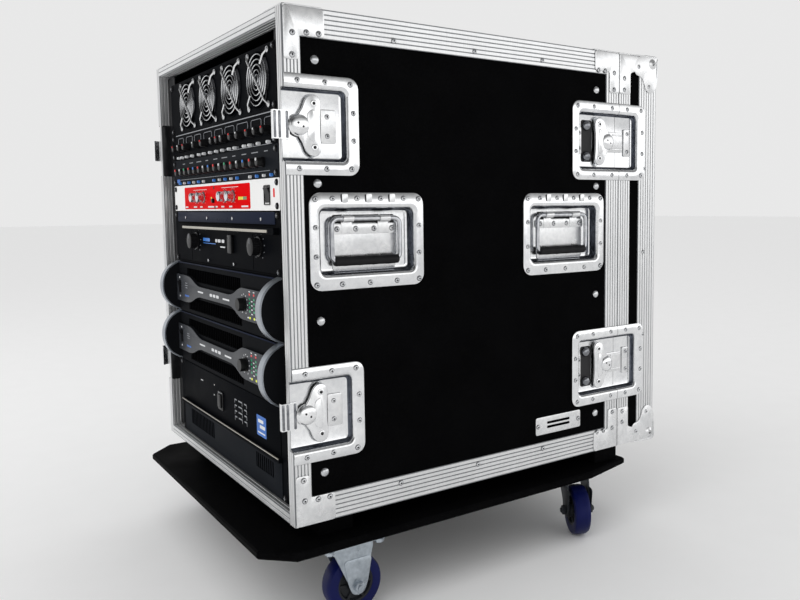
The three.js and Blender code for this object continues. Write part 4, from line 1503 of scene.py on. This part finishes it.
@dataclass
class FanPanel(RackUnit):
    """Two-space panel with four axial fans behind chromed wire guards."""

    rings: tuple[float, ...] = (7.0, 13.5, 20.5, 27.5, 34.5)
    wire: float = 1.0
    bolt: float = 35.75
    ring_lift: float = 3.2
    bar_foot: float = 1.6
    bar_top: float = 5.0
    bar_bend: float = 6.0
    stub: float = 19.0

    def guard(self, face: Face) -> tuple[Body, Body]:
        """One wire guard: its rings, and the long diagonal and two stubs over them."""
        parts = [BENCH.rod([face.at(u, v, self.ring_lift) for u, v in circle(r, 30)], self.wire, True, 6)
                 for r in self.rings]
        b, foot, top = self.bolt, self.bar_foot, self.bar_top
        near = b - self.bar_bend
        paths = [[(-b, b, foot), (-near, near, top), (0, 0, top), (near, -near, top), (b, -b, foot)]]
        paths += [[(s * b, s * b, foot), (s * near, s * near, top), (s * self.stub, s * self.stub, top)]
                  for s in (-1, 1)]
        bars = [BENCH.rod([face.at(*p) for p in path], self.wire * 1.4, sides=6) for path in paths]
        for su in (-1, 1):
            for sv in (-1, 1):
                eye = [face.at(su * b + u, sv * b + v, 1.4) for u, v in circle(3.6, 16)]
                bars.append(BENCH.rod(eye, self.wire, True, 6))
        return BENCH.join(parts), BENCH.join(bars)

    def build(self) -> None:
        """Builds guards and screws and dresses the panel and rotors."""
        BENCH.dress(self.node, UNIT_BLACK)
        spots = [joint_spot(f"fan_{i}_spin") for i in (1, 2, 3, 4)]
        first = self.face.moved(spots[0].x, 0)
        (master, bars), screws, rims = self.guard(first), [], []
        for i, spot in enumerate(spots):
            here = self.face.moved(spot.x, 0)
            twin = BENCH.copy(master, here.matrix() @ first.matrix().inverted())
            BENCH.finish(twin, f"fan_guard_{i + 1}", "case", WIRE, smooth=60)
            twin = BENCH.copy(bars, here.matrix() @ first.matrix().inverted())
            BENCH.finish(twin, f"fan_guard_bars_{i + 1}", "case", BRACE, smooth=60)
            BENCH.dress(f"fan_rotor_{i + 1}", FAN)
            hub = Face(Vector((spot.x, spot.y - 6.8, spot.z)), X, Z, -Y)
            BENCH.finish(BENCH.turned(hub, 0, 0, [(13.6, 0), (13.6, .5), (11, .9), (10.4, .6),
                                                  (2, .6)], 28), f"fan_badge_{i + 1}",
                         f"fan_{i + 1}", MARK_DIM)
            rims.append(BENCH.loft([[here.at(a, b, d) for a, b in circle(r, 40)] for r, d in
                                    ((38, -.2), (40.5, -.2), (40, 1.2), (38.4, .6))], ring=True))
            screws += [here.spot(u, v, 1.2) for u in (-self.bolt, self.bolt)
                       for v in (-self.bolt, self.bolt)]
        bpy.data.objects.remove(master)
        bpy.data.objects.remove(bars)
        BENCH.finish(rims, "fan_rims", "case", UNIT_BLACK)
        RIVETS.heads("fan_screws", "case", screws)


@dataclass
class PatchUnit(RackUnit):
    """One-space black unit: silver brackets over groups, small dark knobs and light keys."""

    def build(self) -> None:
        """Builds the brackets, knobs and keys."""
        BENCH.dress(self.node, UNIT_BLACK)
        brackets = []
        for u, w in ((-190, 30), (-142, 34), (-96, 34), (-44, 40), (8, 36), (58, 40), (112, 44),
                     (166, 38), (210, 26)):
            path = [(u - w / 2, 6), (u - w / 2, 15), (u - w / 2 + 3, 18), (u + w / 2 - 3, 18),
                    (u + w / 2, 15), (u + w / 2, 6)]
            brackets.append(BENCH.rod([self.face.at(a, b * .82, .4) for a, b in path], .5, sides=6))
        BENCH.finish(brackets, "patch_brackets", "case", MARK_DIM)
        lines = [(0, 20.6, 440, 1.4), (224, 0, 2.4, 36), (140, -21.2, 160, .9)]
        self.marks("patch_top_line", MARK_DIM, lines, .1)
        knobs = [(u, -2.5) for u in (-206, -176, -146, -92, -51, -1, 24, 46, 84, 113, 153, 182, 211)]
        self.studs("patch_knobs", SWITCH, [(6.4, -.2), (6.4, 3), (5.6, 10.4), (4.6, 11.4), (.6, 11.6)],
                   knobs, 16)
        red = [(u, v + 3) for u, v in knobs[::2]]
        # Painted light: the red pointers glow though they are no lamps.
        self.studs("patch_red_pointers", LAMPS_AND_GLOWING_CAPS["red"], [(1.5, 11), (1.4, 12.2), (.7, 12.6)], red, 8)
        white = [(u, v + 3) for u, v in knobs[1::2]]
        self.studs("patch_white_pointers", MARK, [(1.5, 11), (1.4, 12.2), (.7, 12.6)], white, 8)
        keys = [(u, -19) for u in (-200, -180, -154, -123, -86, -60, -29, 1, 29, 59, 84, 123, 145,
                                   177, 213)]
        self.studs("patch_keys", MARK, [(2.5, -.2), (2.4, 4.4), (1.8, 5.4), (.5, 5.5)], keys, 10)
        minor = [(u + 9, v) for u, v in keys[:-1:2]]
        self.studs("patch_minor_keys", MARK_DIM, [(1.6, -.2), (1.5, 3.4), (.5, 3.6)], minor, 8)


@dataclass
class LineMixer(RackUnit):
    """One-space mixer: a row of dark knobs with coloured caps above a row of keys."""

    pitch: float = 25.6
    caps: tuple[str, ...] = ("red", "white", "green", "red", "blue", "red", "white", "blue",
                             "red", "white", "green", "red", "white", "blue", "red", "white")

    def build(self) -> None:
        """Builds the knobs, caps, keys and print."""
        BENCH.dress(self.node, UNIT_GREY)
        knobs = [(-196 + i * self.pitch, 0.0) for i in range(len(self.caps))]
        self.studs("mixer_knobs", SWITCH, [(7.2, -.2), (7.2, 2.4), (6.0, 9.8), (5.2, 10.8), (.6, 11)],
                   knobs, 18)
        for colour in sorted(set(self.caps)):
            spots = [(u, v + 3.4) for (u, v), c in zip(knobs, self.caps) if c == colour]
            # Painted light: the coloured caps glow though they are no lamps.
            self.studs(f"mixer_caps_{colour}", LAMPS_AND_GLOWING_CAPS[colour], [(2.2, 10.2), (2.1, 11.6), (1.0, 12.1)],
                       spots, 10)
        keys = [(-200 + i * 26.2, -18.6) for i in range(17) if i not in (6, 12)]
        # Painted light: the blue keys glow though they are no lamps.
        self.studs("mixer_keys_blue", LAMPS_AND_GLOWING_CAPS["blue"], [(2.3, -.2), (2.2, 4.0), (.6, 4.3)], keys[::2], 8)
        self.studs("mixer_keys_white", MARK, [(2.1, -.2), (2.0, 4.0), (.6, 4.3)], keys[1::2], 8)
        ticks = [(-180 + i * 42.0, 14.5, 13.0 + 6 * (i % 3), 1.3) for i in range(10)]
        self.marks("mixer_ticks", MARK_DIM, ticks + [(0, -12.4, 420, .7)])
        self.marks("mixer_blue_corner", MARK_BLUE, [(-214, -14, 18, 6)])


@dataclass
class ChannelStrip(RackUnit):
    """One-space white unit with a red field, four turned knobs, a meter and a rocker."""

    red: Bar = (-181.0, 134.0, -19.2, 18.0)
    radius: float = 8.2
    length: float = 12.0
    dial_radius: float = 12.2

    def build(self) -> None:
        """Builds the field, knobs, meter and print."""
        BENCH.dress(self.node, WHITE)
        BENCH.dress("channel_rocker", SWITCH)
        u0, u1, v0, v1 = self.red
        BENCH.finish(BENCH.plate(self.face, round_rect(u0, u1, v0, v1, 3), -.1, .3, .1), "red_field",
                     "case", RED)
        r, length = self.radius, self.length
        for i in (1, 2, 3, 4):
            spot = joint_spot(f"knob_{i}_turn")
            plane = front_face(spot.z, FACE_Y).moved(spot.x, 0)
            loops = BENCH.fluted(plane, r, 40, .05, [(1, .4), (1, 1.2), (.95, 1.5), (.93, length - 2.2)])
            loops += BENCH.fluted(plane, r, 40, 0, [(.92, length - 1.8), (.9, length - .5), (.8, length),
                                                    (.5, length - .25)])
            BENCH.finish(BENCH.loft(loops), f"turned_knob_{i}", f"knob_{i}", KNOB,
                         f"channel_knob_{i}", smooth=28)
            # Painted shade with a painted red reflection of the field: a dark red ring at the knob's foot.
            skirt = [plane.at(a, b, .5) for a, b in circle(r + 1.5, 32)]
            lid = [plane.at(a, b, 1.1) for a, b in circle(r + .9, 32)]
            BENCH.finish(BENCH.loft([[p + Y * .4 for p in skirt], skirt, lid]), f"knob_foot_shade_{i}",
                         "case", KNOB_FOOT_SHADE)
            BENCH.finish(BENCH.plate(plane, rect(-.6, .6, 2.4, r * .78), length - .2, length + .2),
                         f"knob_pointer_{i}", f"knob_{i}", SWITCH)
            self.studs(f"knob_dots_{i}", MARK, [(.7, .2), (.6, .45)],
                       dial(spot.x, 0, self.dial_radius, range(230, -51, -28)), 6)
        self.marks("meter_yellow", LAMPS_AND_GLOWING_CAPS["yellow"], [(88 + 5 * k, -3.6, 3.6, 4.6) for k in range(4)], .4)
        self.marks("meter_green", LAMPS_AND_GLOWING_CAPS["green"], [(108 + 5 * k, -3.6, 3.6, 4.6) for k in range(3)], .4)
        self.marks("strip_lamp", LAMPS_AND_GLOWING_CAPS["yellow"], [(-37, -1.5, 4, 3)], .4)
        self.studs("strip_button", SWITCH, [(3.6, -.1), (3.6, 3.4), (2.8, 4)], [(-26, -6)], 14)
        bars = [(-170, 15), (-122, 17), (-90, 12), (-40, 30), (-14, 12), (16, 14), (52, 14), (112, 28)]
        self.marks("strip_print", MARK, [(u, -15.6, w, 2.4) for u, w in bars], .3)
        self.marks("strip_arcs", MARK, [(-95, 12.5, 70, .8), (50, 13.5, 74, .8)], .3)
        self.marks("strip_red_mark", RED, [(222, 2, 5, 12)], .1)
        self.marks("strip_screws", HOLE_SHADE, [(-24, 14.6, 5, 5), (-20, -16.8, 5, 5)], .4)
        rocker = Box.of("channel_rocker")
        bezel = Face(Vector((rocker.mid.x, FACE_Y, rocker.mid.z)), X, Z, -Y)
        rim = BENCH.plate(bezel, round_rect(-10.8, 10.8, -13.6, 13.6, 2), -.1, 1.3, .4)
        hole = BENCH.plate(bezel, rect(-9.0, 9.0, -12.2, 12.2), -3, 4)
        BENCH.finish(BENCH.cut(rim, hole), "channel_rocker_bezel", "case", SWITCH)


@dataclass
class StereoAmp(RackUnit):
    """Two-space black amplifier: blue-black head band, bright bar, two large knobs."""

    knobs: Flat = (-121.0, 162.0)
    knob_level: float = -5.5

    def build(self) -> None:
        """Builds the bar, seams, knobs, rocker and print."""
        BENCH.dress(self.node, UNIT_BLACK)
        BENCH.finish(BENCH.plate(self.face, round_rect(-224, 224, 26, 43, 1.2), -.1, 1.2, .5),
                     "head_band", "case", BLUE_EDGE)
        BENCH.finish(BENCH.plate(self.face, round_rect(-172, 214, 15.0, 19.0, 1.4), 7, 9.4, .5),
                     "bright_bar", "case", CHAMPAGNE)
        seams = [(u, -13, 1.1, 52) for u in (-150, 138)] + [(0, 24.6, 446, 1.2), (0, -41.6, 446, 1.2)]
        self.marks("stereo_seams", VENT, seams, .1)
        for i, u in enumerate(self.knobs):
            plane = self.face.moved(u, self.knob_level)
            loops = BENCH.fluted(plane, 14.5, 48, .045, [(1, -.2), (1, 2), (.86, 2.6), (.8, 12.5)])
            loops += BENCH.fluted(plane, 16.5, 48, 0, [(.76, 13.6), (.66, 14.2), (.2, 14.2)])
            BENCH.finish(BENCH.loft(loops), f"stereo_knob_{i + 1}", "case", SWITCH, smooth=28)
            self.marks(f"stereo_pointer_{i + 1}", MARK_DIM, [(u, 2.5, 1.2, 8)], 14.3)
            self.studs(f"stereo_dots_{i + 1}", MARK_DIM, [(1.0, -.1), (.8, .3)],
                       dial(u, self.knob_level, 20, range(-50, 231, 28)), 8)
        BENCH.finish(BENCH.plate(self.face, round_rect(41, 59, -20, 8, 2.5), -.2, 4.6, 1.0),
                     "stereo_rocker", "case", SWITCH)
        # Painted light: the printed blue bar glows.
        self.marks("stereo_blue_bar", LAMPS_AND_GLOWING_CAPS["blue"], [(-71, -2.5, 34, 5.5), (-56, -8.2, 62, 1.0)])
        self.marks("stereo_white_bars", MARK, [(-22, -2.8, 8, 5), (-8, -2.8, 14, 5), (10, -2.8, 12, 5),
                                               (8, -12, 22, 2)])
        self.studs("stereo_screws", RIVET, [(2.6, -.1), (2.4, 1.0), (1.2, 1.3)],
                   [(-176, 33), (-60, 33), (60, 33), (176, 33), (-60, -36), (60, -36)], 10, 1.1)


@dataclass
class PowerAmp(RackUnit):
    """Two-space amplifier: grey waisted fascia, dark vents, rimmed end fins, lamps, a knob."""

    level: str = "upper"
    drop: float = 2.0
    lobe: float = 23.5
    waist: float = 8.5
    knob: float = 116.0
    knob_radius: float = 10.8
    proud: float = 7.0
    reach: float = 32.0
    fin: float = 16.0
    fin_half: float = 44.0

    @staticmethod
    def curve(a: Flat, b: Flat, c: Flat, d: Flat, steps: int = 10) -> Outline:
        """Points of a cubic curve, its last point left out."""
        points = []
        for i in range(steps):
            t, s = i / steps, 1 - i / steps
            points.append(tuple(s ** 3 * p + 3 * s * s * t * q + 3 * s * t * t * r + t ** 3 * e
                                for p, q, r, e in zip(a, b, c, d)))
        return points

    def bone(self) -> Outline:
        """Outline of the waisted fascia, anticlockwise from its lower left corner."""
        lo, w = self.lobe, self.waist
        under = self.curve((-168, -lo), (-130, -lo), (-122, -w), (-84, -w))
        under += self.curve((44, -w), (78, -w), (84, -lo), (112, -lo))
        half = [(-223.5, -lo)] + under + [(112, -lo), (223.5, -lo)]
        return half + [(u, -v) for u, v in reversed(half)]

    def build_fascia(self) -> None:
        """Waisted plate with the rocker's well, and the vents above and below it."""
        face, tag = self.face.moved(0, -self.drop), self.level
        plate = BENCH.plate(face, self.bone(), self.proud - .6, self.proud + .9, .7)
        well = BENCH.plate(self.face, rect(-213.2, -196.8, -11.2, 11.2), 0, 12)
        BENCH.finish(BENCH.cut(plate, well), f"fascia_{tag}", "case", BONE)
        for name, v0, v1, u0, u1 in (("top", self.lobe - 9, 36, -176, 90),
                                     ("low", -36, -self.lobe + 9, -170, 92)):
            slats = [BENCH.plate(face, rect(u - .9, u + .9, v0 + 1, v1 - 1), -.2, 2.6, .3)
                     for u in range(int(u0) + 6, int(u1) - 3, 9)]
            BENCH.finish(slats, f"vent_slats_{name}_{tag}", "case", VENT)
            BENCH.finish(BENCH.plate(face, rect(u0 + .3, u1 - .3, v0 + .3, v1 - .3), -.2, .2),
                         f"vent_back_{name}_{tag}", "case", VENT)
        BENCH.finish(BENCH.plate(self.face, rect(-223.5, 223.5, 41.6, 43.6), 3.6, 4.6, .3),
                     f"top_edge_{tag}", "case", BLUE_EDGE)

    def build_fins(self) -> None:
        """Bright rims along the curved end fins."""
        h, reach, rims = self.fin_half, self.reach, []
        path = self.curve((0, -h), (reach * .75, -36), (reach, -18), (reach, 0), 12)
        path += self.curve((reach, 0), (reach, 18), (reach * .75, 36), (0, h), 12) + [(0, h)]
        edge = Box.of(self.node).hi.x
        for sign in (-1, 1):
            loops, u0, u1 = [], sign * (edge - self.fin - .2), sign * (edge + .2)
            for i, (d, v) in enumerate(path):
                nxt, prev = path[min(i + 1, len(path) - 1)], path[max(i - 1, 0)]
                along = Vector((nxt[0] - prev[0], nxt[1] - prev[1])).normalized()
                nd, nv = along.y, -along.x
                inner, outer = (d - nd * 1.6, v - nv * 1.6), (d + nd * .8, v + nv * .8)
                soft = (d + nd * .3, v + nv * .3)
                inset = sign * .8
                loops.append([self.face.at(u, b, max(a, -.3)) for u, (a, b) in
                              ((u0, inner), (u1, inner), (u1, soft), (u1 - inset, outer),
                               (u0 + inset, outer), (u0, soft))])
            rims.append(BENCH.loft(loops))
        BENCH.finish(rims, f"fin_rims_{self.level}", "case", RIM, smooth=30)

    def build_controls(self) -> None:
        """Knob with its dots, the lamp columns, the print and the finished rocker."""
        tag, top = self.level, self.proud + .9
        BENCH.dress(f"power_amp_{tag}_rocker", SWITCH)
        plane = self.face.moved(self.knob, -self.drop, 0)
        skirt = [(1, top - .3), (1, top + 1.2), (.9, top + 1.6), (.86, top + 9.6)]
        loops = BENCH.fluted(plane, self.knob_radius, 36, .05, skirt)
        loops += BENCH.fluted(plane, self.knob_radius, 36, 0, [(.8, top + 10.4), (.3, top + 10.4)])
        BENCH.finish(BENCH.loft(loops), f"power_knob_{tag}", "case", SWITCH, smooth=28)
        self.studs(f"knob_ring_{tag}", MARK, [(1.2, -.1), (1.0, .25)],
                   dial(self.knob, -self.drop, 14.5, range(-60, 241, 30)), 8, top)
        for name, rows in (("red", (16,)), ("green", (9.5, 3.5, -2.5, -8.5)), ("yellow", (-18,))):
            bars = [(u, v - self.drop, 5.2, 3.2) for u in (139, 156) for v in rows]
            self.marks(f"lamps_{name}_{tag}", LAMPS_AND_GLOWING_CAPS[name], bars, top)
        bars = [(147.5, v - self.drop, 6, 1.6) for v in (6.5, .5, -5.5, -12)]
        bars += [(u, 20 - self.drop, 6, 1.6) for u in (139, 156)] + [(132, -20, 6, 2), (163, -20, 5, 2)]
        bars += [(-88, -1.6, 28, 2.6), (-34, -2, 12, 4.6), (-18, -2, 12, 4.6), (-2, -2, 12, 4.6),
                 (38, -2.6, 30, 2.6), (-205, 16, 5, 3.2), (-205, -17, 4, 3)]
        self.marks(f"fascia_print_{tag}", MARK, bars, top)
        self.marks(f"fascia_blue_{tag}", MARK_BLUE, [(-164, -14, 24, 3.2)], top)
        self.marks(f"fascia_disc_{tag}", MARK_DIM, [(-166, 4, 16, 1.4), (-166, 8, 12, 1.4),
                                                    (-166, 0, 12, 1.4)], top)

    def build(self) -> None:
        """Builds and dresses the amplifier."""
        BENCH.dress(self.node, CHARCOAL)
        self.build_fascia()
        self.build_fins()
        self.build_controls()


@dataclass
class BaseAmp(RackUnit):
    """Three-space unit at the bottom: dark head with a rocker and printed ticks, ledge, grey foot."""

    ledge: float = -8.7

    def build(self) -> None:
        """Builds the ledge trim, vents, rocker, ticks and sticker."""
        BENCH.dress(self.node, UNIT_BLACK)
        low = -self.half + 1
        foot = BENCH.plate(self.face, round_rect(-224, 224, low, self.ledge - 4, 1.5), -.2, 1.4, .5)
        holes = [BENCH.plate(self.face, round_rect(a, b, low + c, self.ledge - 10, 2), .2, 3)
                 for a, b, c in ((-186, -60, 20), (128, 196, 24))]
        BENCH.finish(BENCH.cut(foot, *holes), "foot_panel", "case", UNIT_GREY)
        slats = [BENCH.plate(self.face, rect(u - 1.1, u + 1.1, low + c, self.ledge - 10), 0, 1.0)
                 for a, b, c in ((-180, -64, 20), (134, 192, 24)) for u in range(a, b, 8)]
        BENCH.finish(slats, "foot_slats", "case", VENT)
        line = rect(-224, 224, self.ledge + 1.6, self.ledge + 3.3)
        BENCH.finish(BENCH.plate(self.face, line, 4.6, 6.6, .4), "ledge_line", "case", CHAMPAGNE)
        BENCH.finish(BENCH.plate(self.face, round_rect(-222, 222, self.ledge + 6, self.half - 2, 2),
                                 -.1, 1.0, .4), "head_panel", "case", UNIT_BLACK)
        body = BENCH.plate(self.face, round_rect(-34, -10, 12, 42, 3), .8, 3.0, .6)
        paddle = BENCH.plate(self.face, round_rect(-30, -14, 16, 38, 2), 2.6, 5.4, 1.2)
        BENCH.finish(BENCH.join([body, paddle]), "base_rocker", "case", SWITCH)
        # Painted highlights: thin grey bars along the rocker's top and side.
        self.marks("rocker_glints", MARK_DIM, [(-22, 40.2, 18, .9), (-32.6, 27, .9, 22)], 2.9)
        ticks = [(u, v, w, 2.0) for u, w in ((46, 9), (66, 16), (88, 10)) for v in (42, 33, 24, 15)]
        ticks += [(u, v - 3, 1.2, 5) for u in (42, 74, 93) for v in (42, 33, 24, 15)]
        self.marks("base_ticks", MARK_DIM, ticks, 1.0)
        self.marks("base_sticker", MARK_BLUE, [(152, 23, 36, 30)], 1.0)
        self.marks("sticker_bars", MARK, [(150, 30, 20, 5), (156, 22, 20, 5), (152, 13, 28, 2)], 1.2)
        self.marks("base_white_ticks", MARK, [(-55, 47, 3, 2), (-57, 30, 3, 2), (-120, 44, 12, 1.4)], 1.0)


@dataclass
class RackScrews:
    """Dark pan-head screws with cross recesses in the rack ears of every unit but the power amplifiers."""

    units: list[RackUnit]

    def build(self) -> None:
        """Builds all the screws as one piece, with their recesses."""
        spots = [spot for unit in self.units for spot in unit.screw_spots()]
        head = BENCH.turned(GROUND, 0, 0, [(4.6, -.2), (4.6, .7), (4.0, 1.6), (2.6, 2.3), (.6, 2.5)], 14)
        BENCH.finish(BENCH.scatter(head, spots), "rack_screws", "case", SWITCH)
        cross = BENCH.join([BENCH.plate(GROUND, rect(-2.6, 2.6, -.6, .6), 1.6, 2.6),
                            BENCH.plate(GROUND, rect(-.6, .6, -2.6, 2.6), 1.6, 2.6)])
        BENCH.finish(BENCH.scatter(cross, spots), "rack_screw_crosses", "case", MARK_DIM)


# --- studio
@dataclass(frozen=True)
class Lamp:
    """One soft area light: where it stands, how wide it is and its power in watts."""

    name: str
    place: Spot
    size: float
    power: float


@dataclass
class Studio:
    """Pale floor, soft light and the camera."""

    floor: float = 60.0
    backdrop: float = 0.81
    fill: float = 0.82
    toward: Spot = (0.8, 0.6, 0.0)
    around: tuple[Flat, ...] = ((0.0, 1.05), (0.16, .8), (0.34, .34), (0.52, .26), (0.7, .75),
                                (0.85, 1.4), (1.0, 1.6))
    above: tuple[Flat, ...] = ((0.0, 1.0), (0.24, 1.0), (0.42, .34), (0.66, .14), (1.0, .5))
    eye: Spot = (1.241, -0.724, 0.568)
    azimuth: float = 54.40
    elevation: float = 4.88
    roll: float = -0.53
    lens: float = 35.78
    shift: Flat = (-0.084, -0.0325)
    lamps: tuple[Lamp, ...] = (Lamp("key", (1.6, -2.6, 3.4), 2.6, 26.0),
                               Lamp("front", (-1.6, -3.0, 1.4), 2.0, 12.0))

    def build_floor(self) -> None:
        """A plain pale floor."""
        BENCH.pick()
        bpy.ops.mesh.primitive_plane_add(size=self.floor, location=(0, 0, -0.0005))
        floor = bpy.context.active_object
        floor.name = "floor"
        pale = Finish("studio_floor", "", (.93, .93, .93), (.91, .91, .91), Grain.PAINT,
                      rough=(.8, .9), bump=.02, specular=.0)
        floor.data.materials.append(pale.build())

    def build_light(self) -> None:
        """Soft area lights that metal does not mirror, inside the surround."""
        for lamp in self.lamps:
            data = bpy.data.lights.new(lamp.name, "AREA")
            data.size, data.energy = lamp.size, lamp.power
            item = bpy.data.objects.new(lamp.name, data)
            item.location = lamp.place
            item.rotation_euler = (Vector((0, 0, .4)) - item.location).to_track_quat("-Z", "Y").to_euler()
            item.visible_glossy = False
            bpy.context.scene.collection.objects.link(item)
        bpy.context.scene.view_settings.view_transform = "Standard"

    @staticmethod
    def greys(tree: bpy.types.NodeTree, stops: tuple[Flat, ...]) -> bpy.types.Node:
        """A ramp through (position, grey) stops."""
        ramp = tree.nodes.new("ShaderNodeValToRGB")
        ramp.color_ramp.interpolation = "EASE"
        while len(ramp.color_ramp.elements) < len(stops):
            ramp.color_ramp.elements.new(0.5)
        for element, (position, _) in zip(ramp.color_ramp.elements, stops):
            element.position = position
        for element, (_, grey) in zip(ramp.color_ramp.elements, stops):
            element.color = (grey, grey, grey, 1.0)
        return ramp

    def build_surround(self) -> None:
        """Even pale surround to the eye; banded light and dark cards in reflections."""
        world = bpy.data.worlds.new("surround")
        world.use_nodes = True
        tree = world.node_tree
        nodes, links = tree.nodes, tree.links
        even = nodes["Background"]
        even.inputs["Color"].default_value = (self.fill, self.fill, self.fill, 1.0)
        coords = add_node(tree, "ShaderNodeTexCoord")
        turn = add_node(tree, "ShaderNodeVectorMath", {1: self.toward}, "DOT_PRODUCT")
        links.new(coords.outputs["Generated"], turn.inputs[0])
        half = add_node(tree, "ShaderNodeMath", {1: 0.5, 2: 0.5}, "MULTIPLY_ADD")
        links.new(turn.outputs["Value"], half.inputs[0])
        around = self.greys(tree, self.around)
        links.new(half.outputs[0], around.inputs["Fac"])
        axes = add_node(tree, "ShaderNodeSeparateXYZ")
        links.new(coords.outputs["Generated"], axes.inputs[0])
        height = add_node(tree, "ShaderNodeMath", operation="ABSOLUTE")
        links.new(axes.outputs["Z"], height.inputs[0])
        above = self.greys(tree, self.above)
        links.new(height.outputs[0], above.inputs["Fac"])
        both = nodes.new("ShaderNodeMix")
        both.data_type, both.blend_type = "RGBA", "MULTIPLY"
        both.inputs[0].default_value = 1.0
        links.new(around.outputs["Color"], both.inputs[6])
        links.new(above.outputs["Color"], both.inputs[7])
        cards = add_node(tree, "ShaderNodeBackground")
        links.new(both.outputs[2], cards.inputs["Color"])
        pale = (self.backdrop, self.backdrop, self.backdrop, 1.0)
        plain = add_node(tree, "ShaderNodeBackground", {"Color": pale})
        path = add_node(tree, "ShaderNodeLightPath")
        gloss, seen = (add_node(tree, "ShaderNodeMixShader") for _ in range(2))
        for mix, ray, first, second in ((gloss, "Is Glossy Ray", even, cards),
                                        (seen, "Is Camera Ray", gloss, plain)):
            links.new(path.outputs[ray], mix.inputs[0])
            links.new(first.outputs[0], mix.inputs[1])
            links.new(second.outputs[0], mix.inputs[2])
        links.new(seen.outputs[0], nodes["World Output"].inputs["Surface"])
        bpy.context.scene.world = world

    def build_camera(self) -> None:
        """Camera at the calibrated place."""
        a, e, r = (math.radians(x) for x in (self.azimuth, self.elevation, self.roll))
        back = Vector((math.sin(a) * math.cos(e), -math.cos(a) * math.cos(e), math.sin(e)))
        right = Z.cross(back).normalized()
        up = back.cross(right)
        level, tall = right * math.cos(r) + up * math.sin(r), up * math.cos(r) - right * math.sin(r)
        data = bpy.data.cameras.new("camera")
        data.lens, data.sensor_width = self.lens, 36.0
        data.shift_x, data.shift_y = self.shift
        camera = bpy.data.objects.new("camera", data)
        turn = Matrix((level, tall, back)).transposed().to_4x4()
        camera.matrix_world = Matrix.Translation(Vector(self.eye)) @ turn
        bpy.context.scene.collection.objects.link(camera)
        bpy.context.scene.camera = camera

    def build(self) -> None:
        """Builds the studio."""
        self.build_camera()
        self.build_floor()
        self.build_light()
        self.build_surround()


def main() -> None:
    """Builds the sub-assemblies in order and reports them."""
    logging.basicConfig(level=logging.INFO, format="%(name)s: %(message)s")
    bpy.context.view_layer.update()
    Studio().build()
    RackCase().build()
    RearLid().build()
    for side, sign in SIDES:
        for place in ("front", "rear"):
            RecessedHandle(side, place, sign).build()
    TwistLatch().build()
    Dolly().build()
    units: list[RackUnit] = [
        FanPanel("fan_panel"), PatchUnit("patch_unit"), LineMixer("line_mixer"),
        ChannelStrip("channel_strip"), StereoAmp("stereo_amp"),
        PowerAmp("power_amp_upper", level="upper"), PowerAmp("power_amp_lower", level="lower"),
        BaseAmp("base_amp")]
    for unit in units:
        unit.build()
    RackScrews([unit for unit in units if not isinstance(unit, PowerAmp)]).build()
    LOG.info("%d pieces made", len(BENCH.made))


if __name__ == "__main__":
    main()
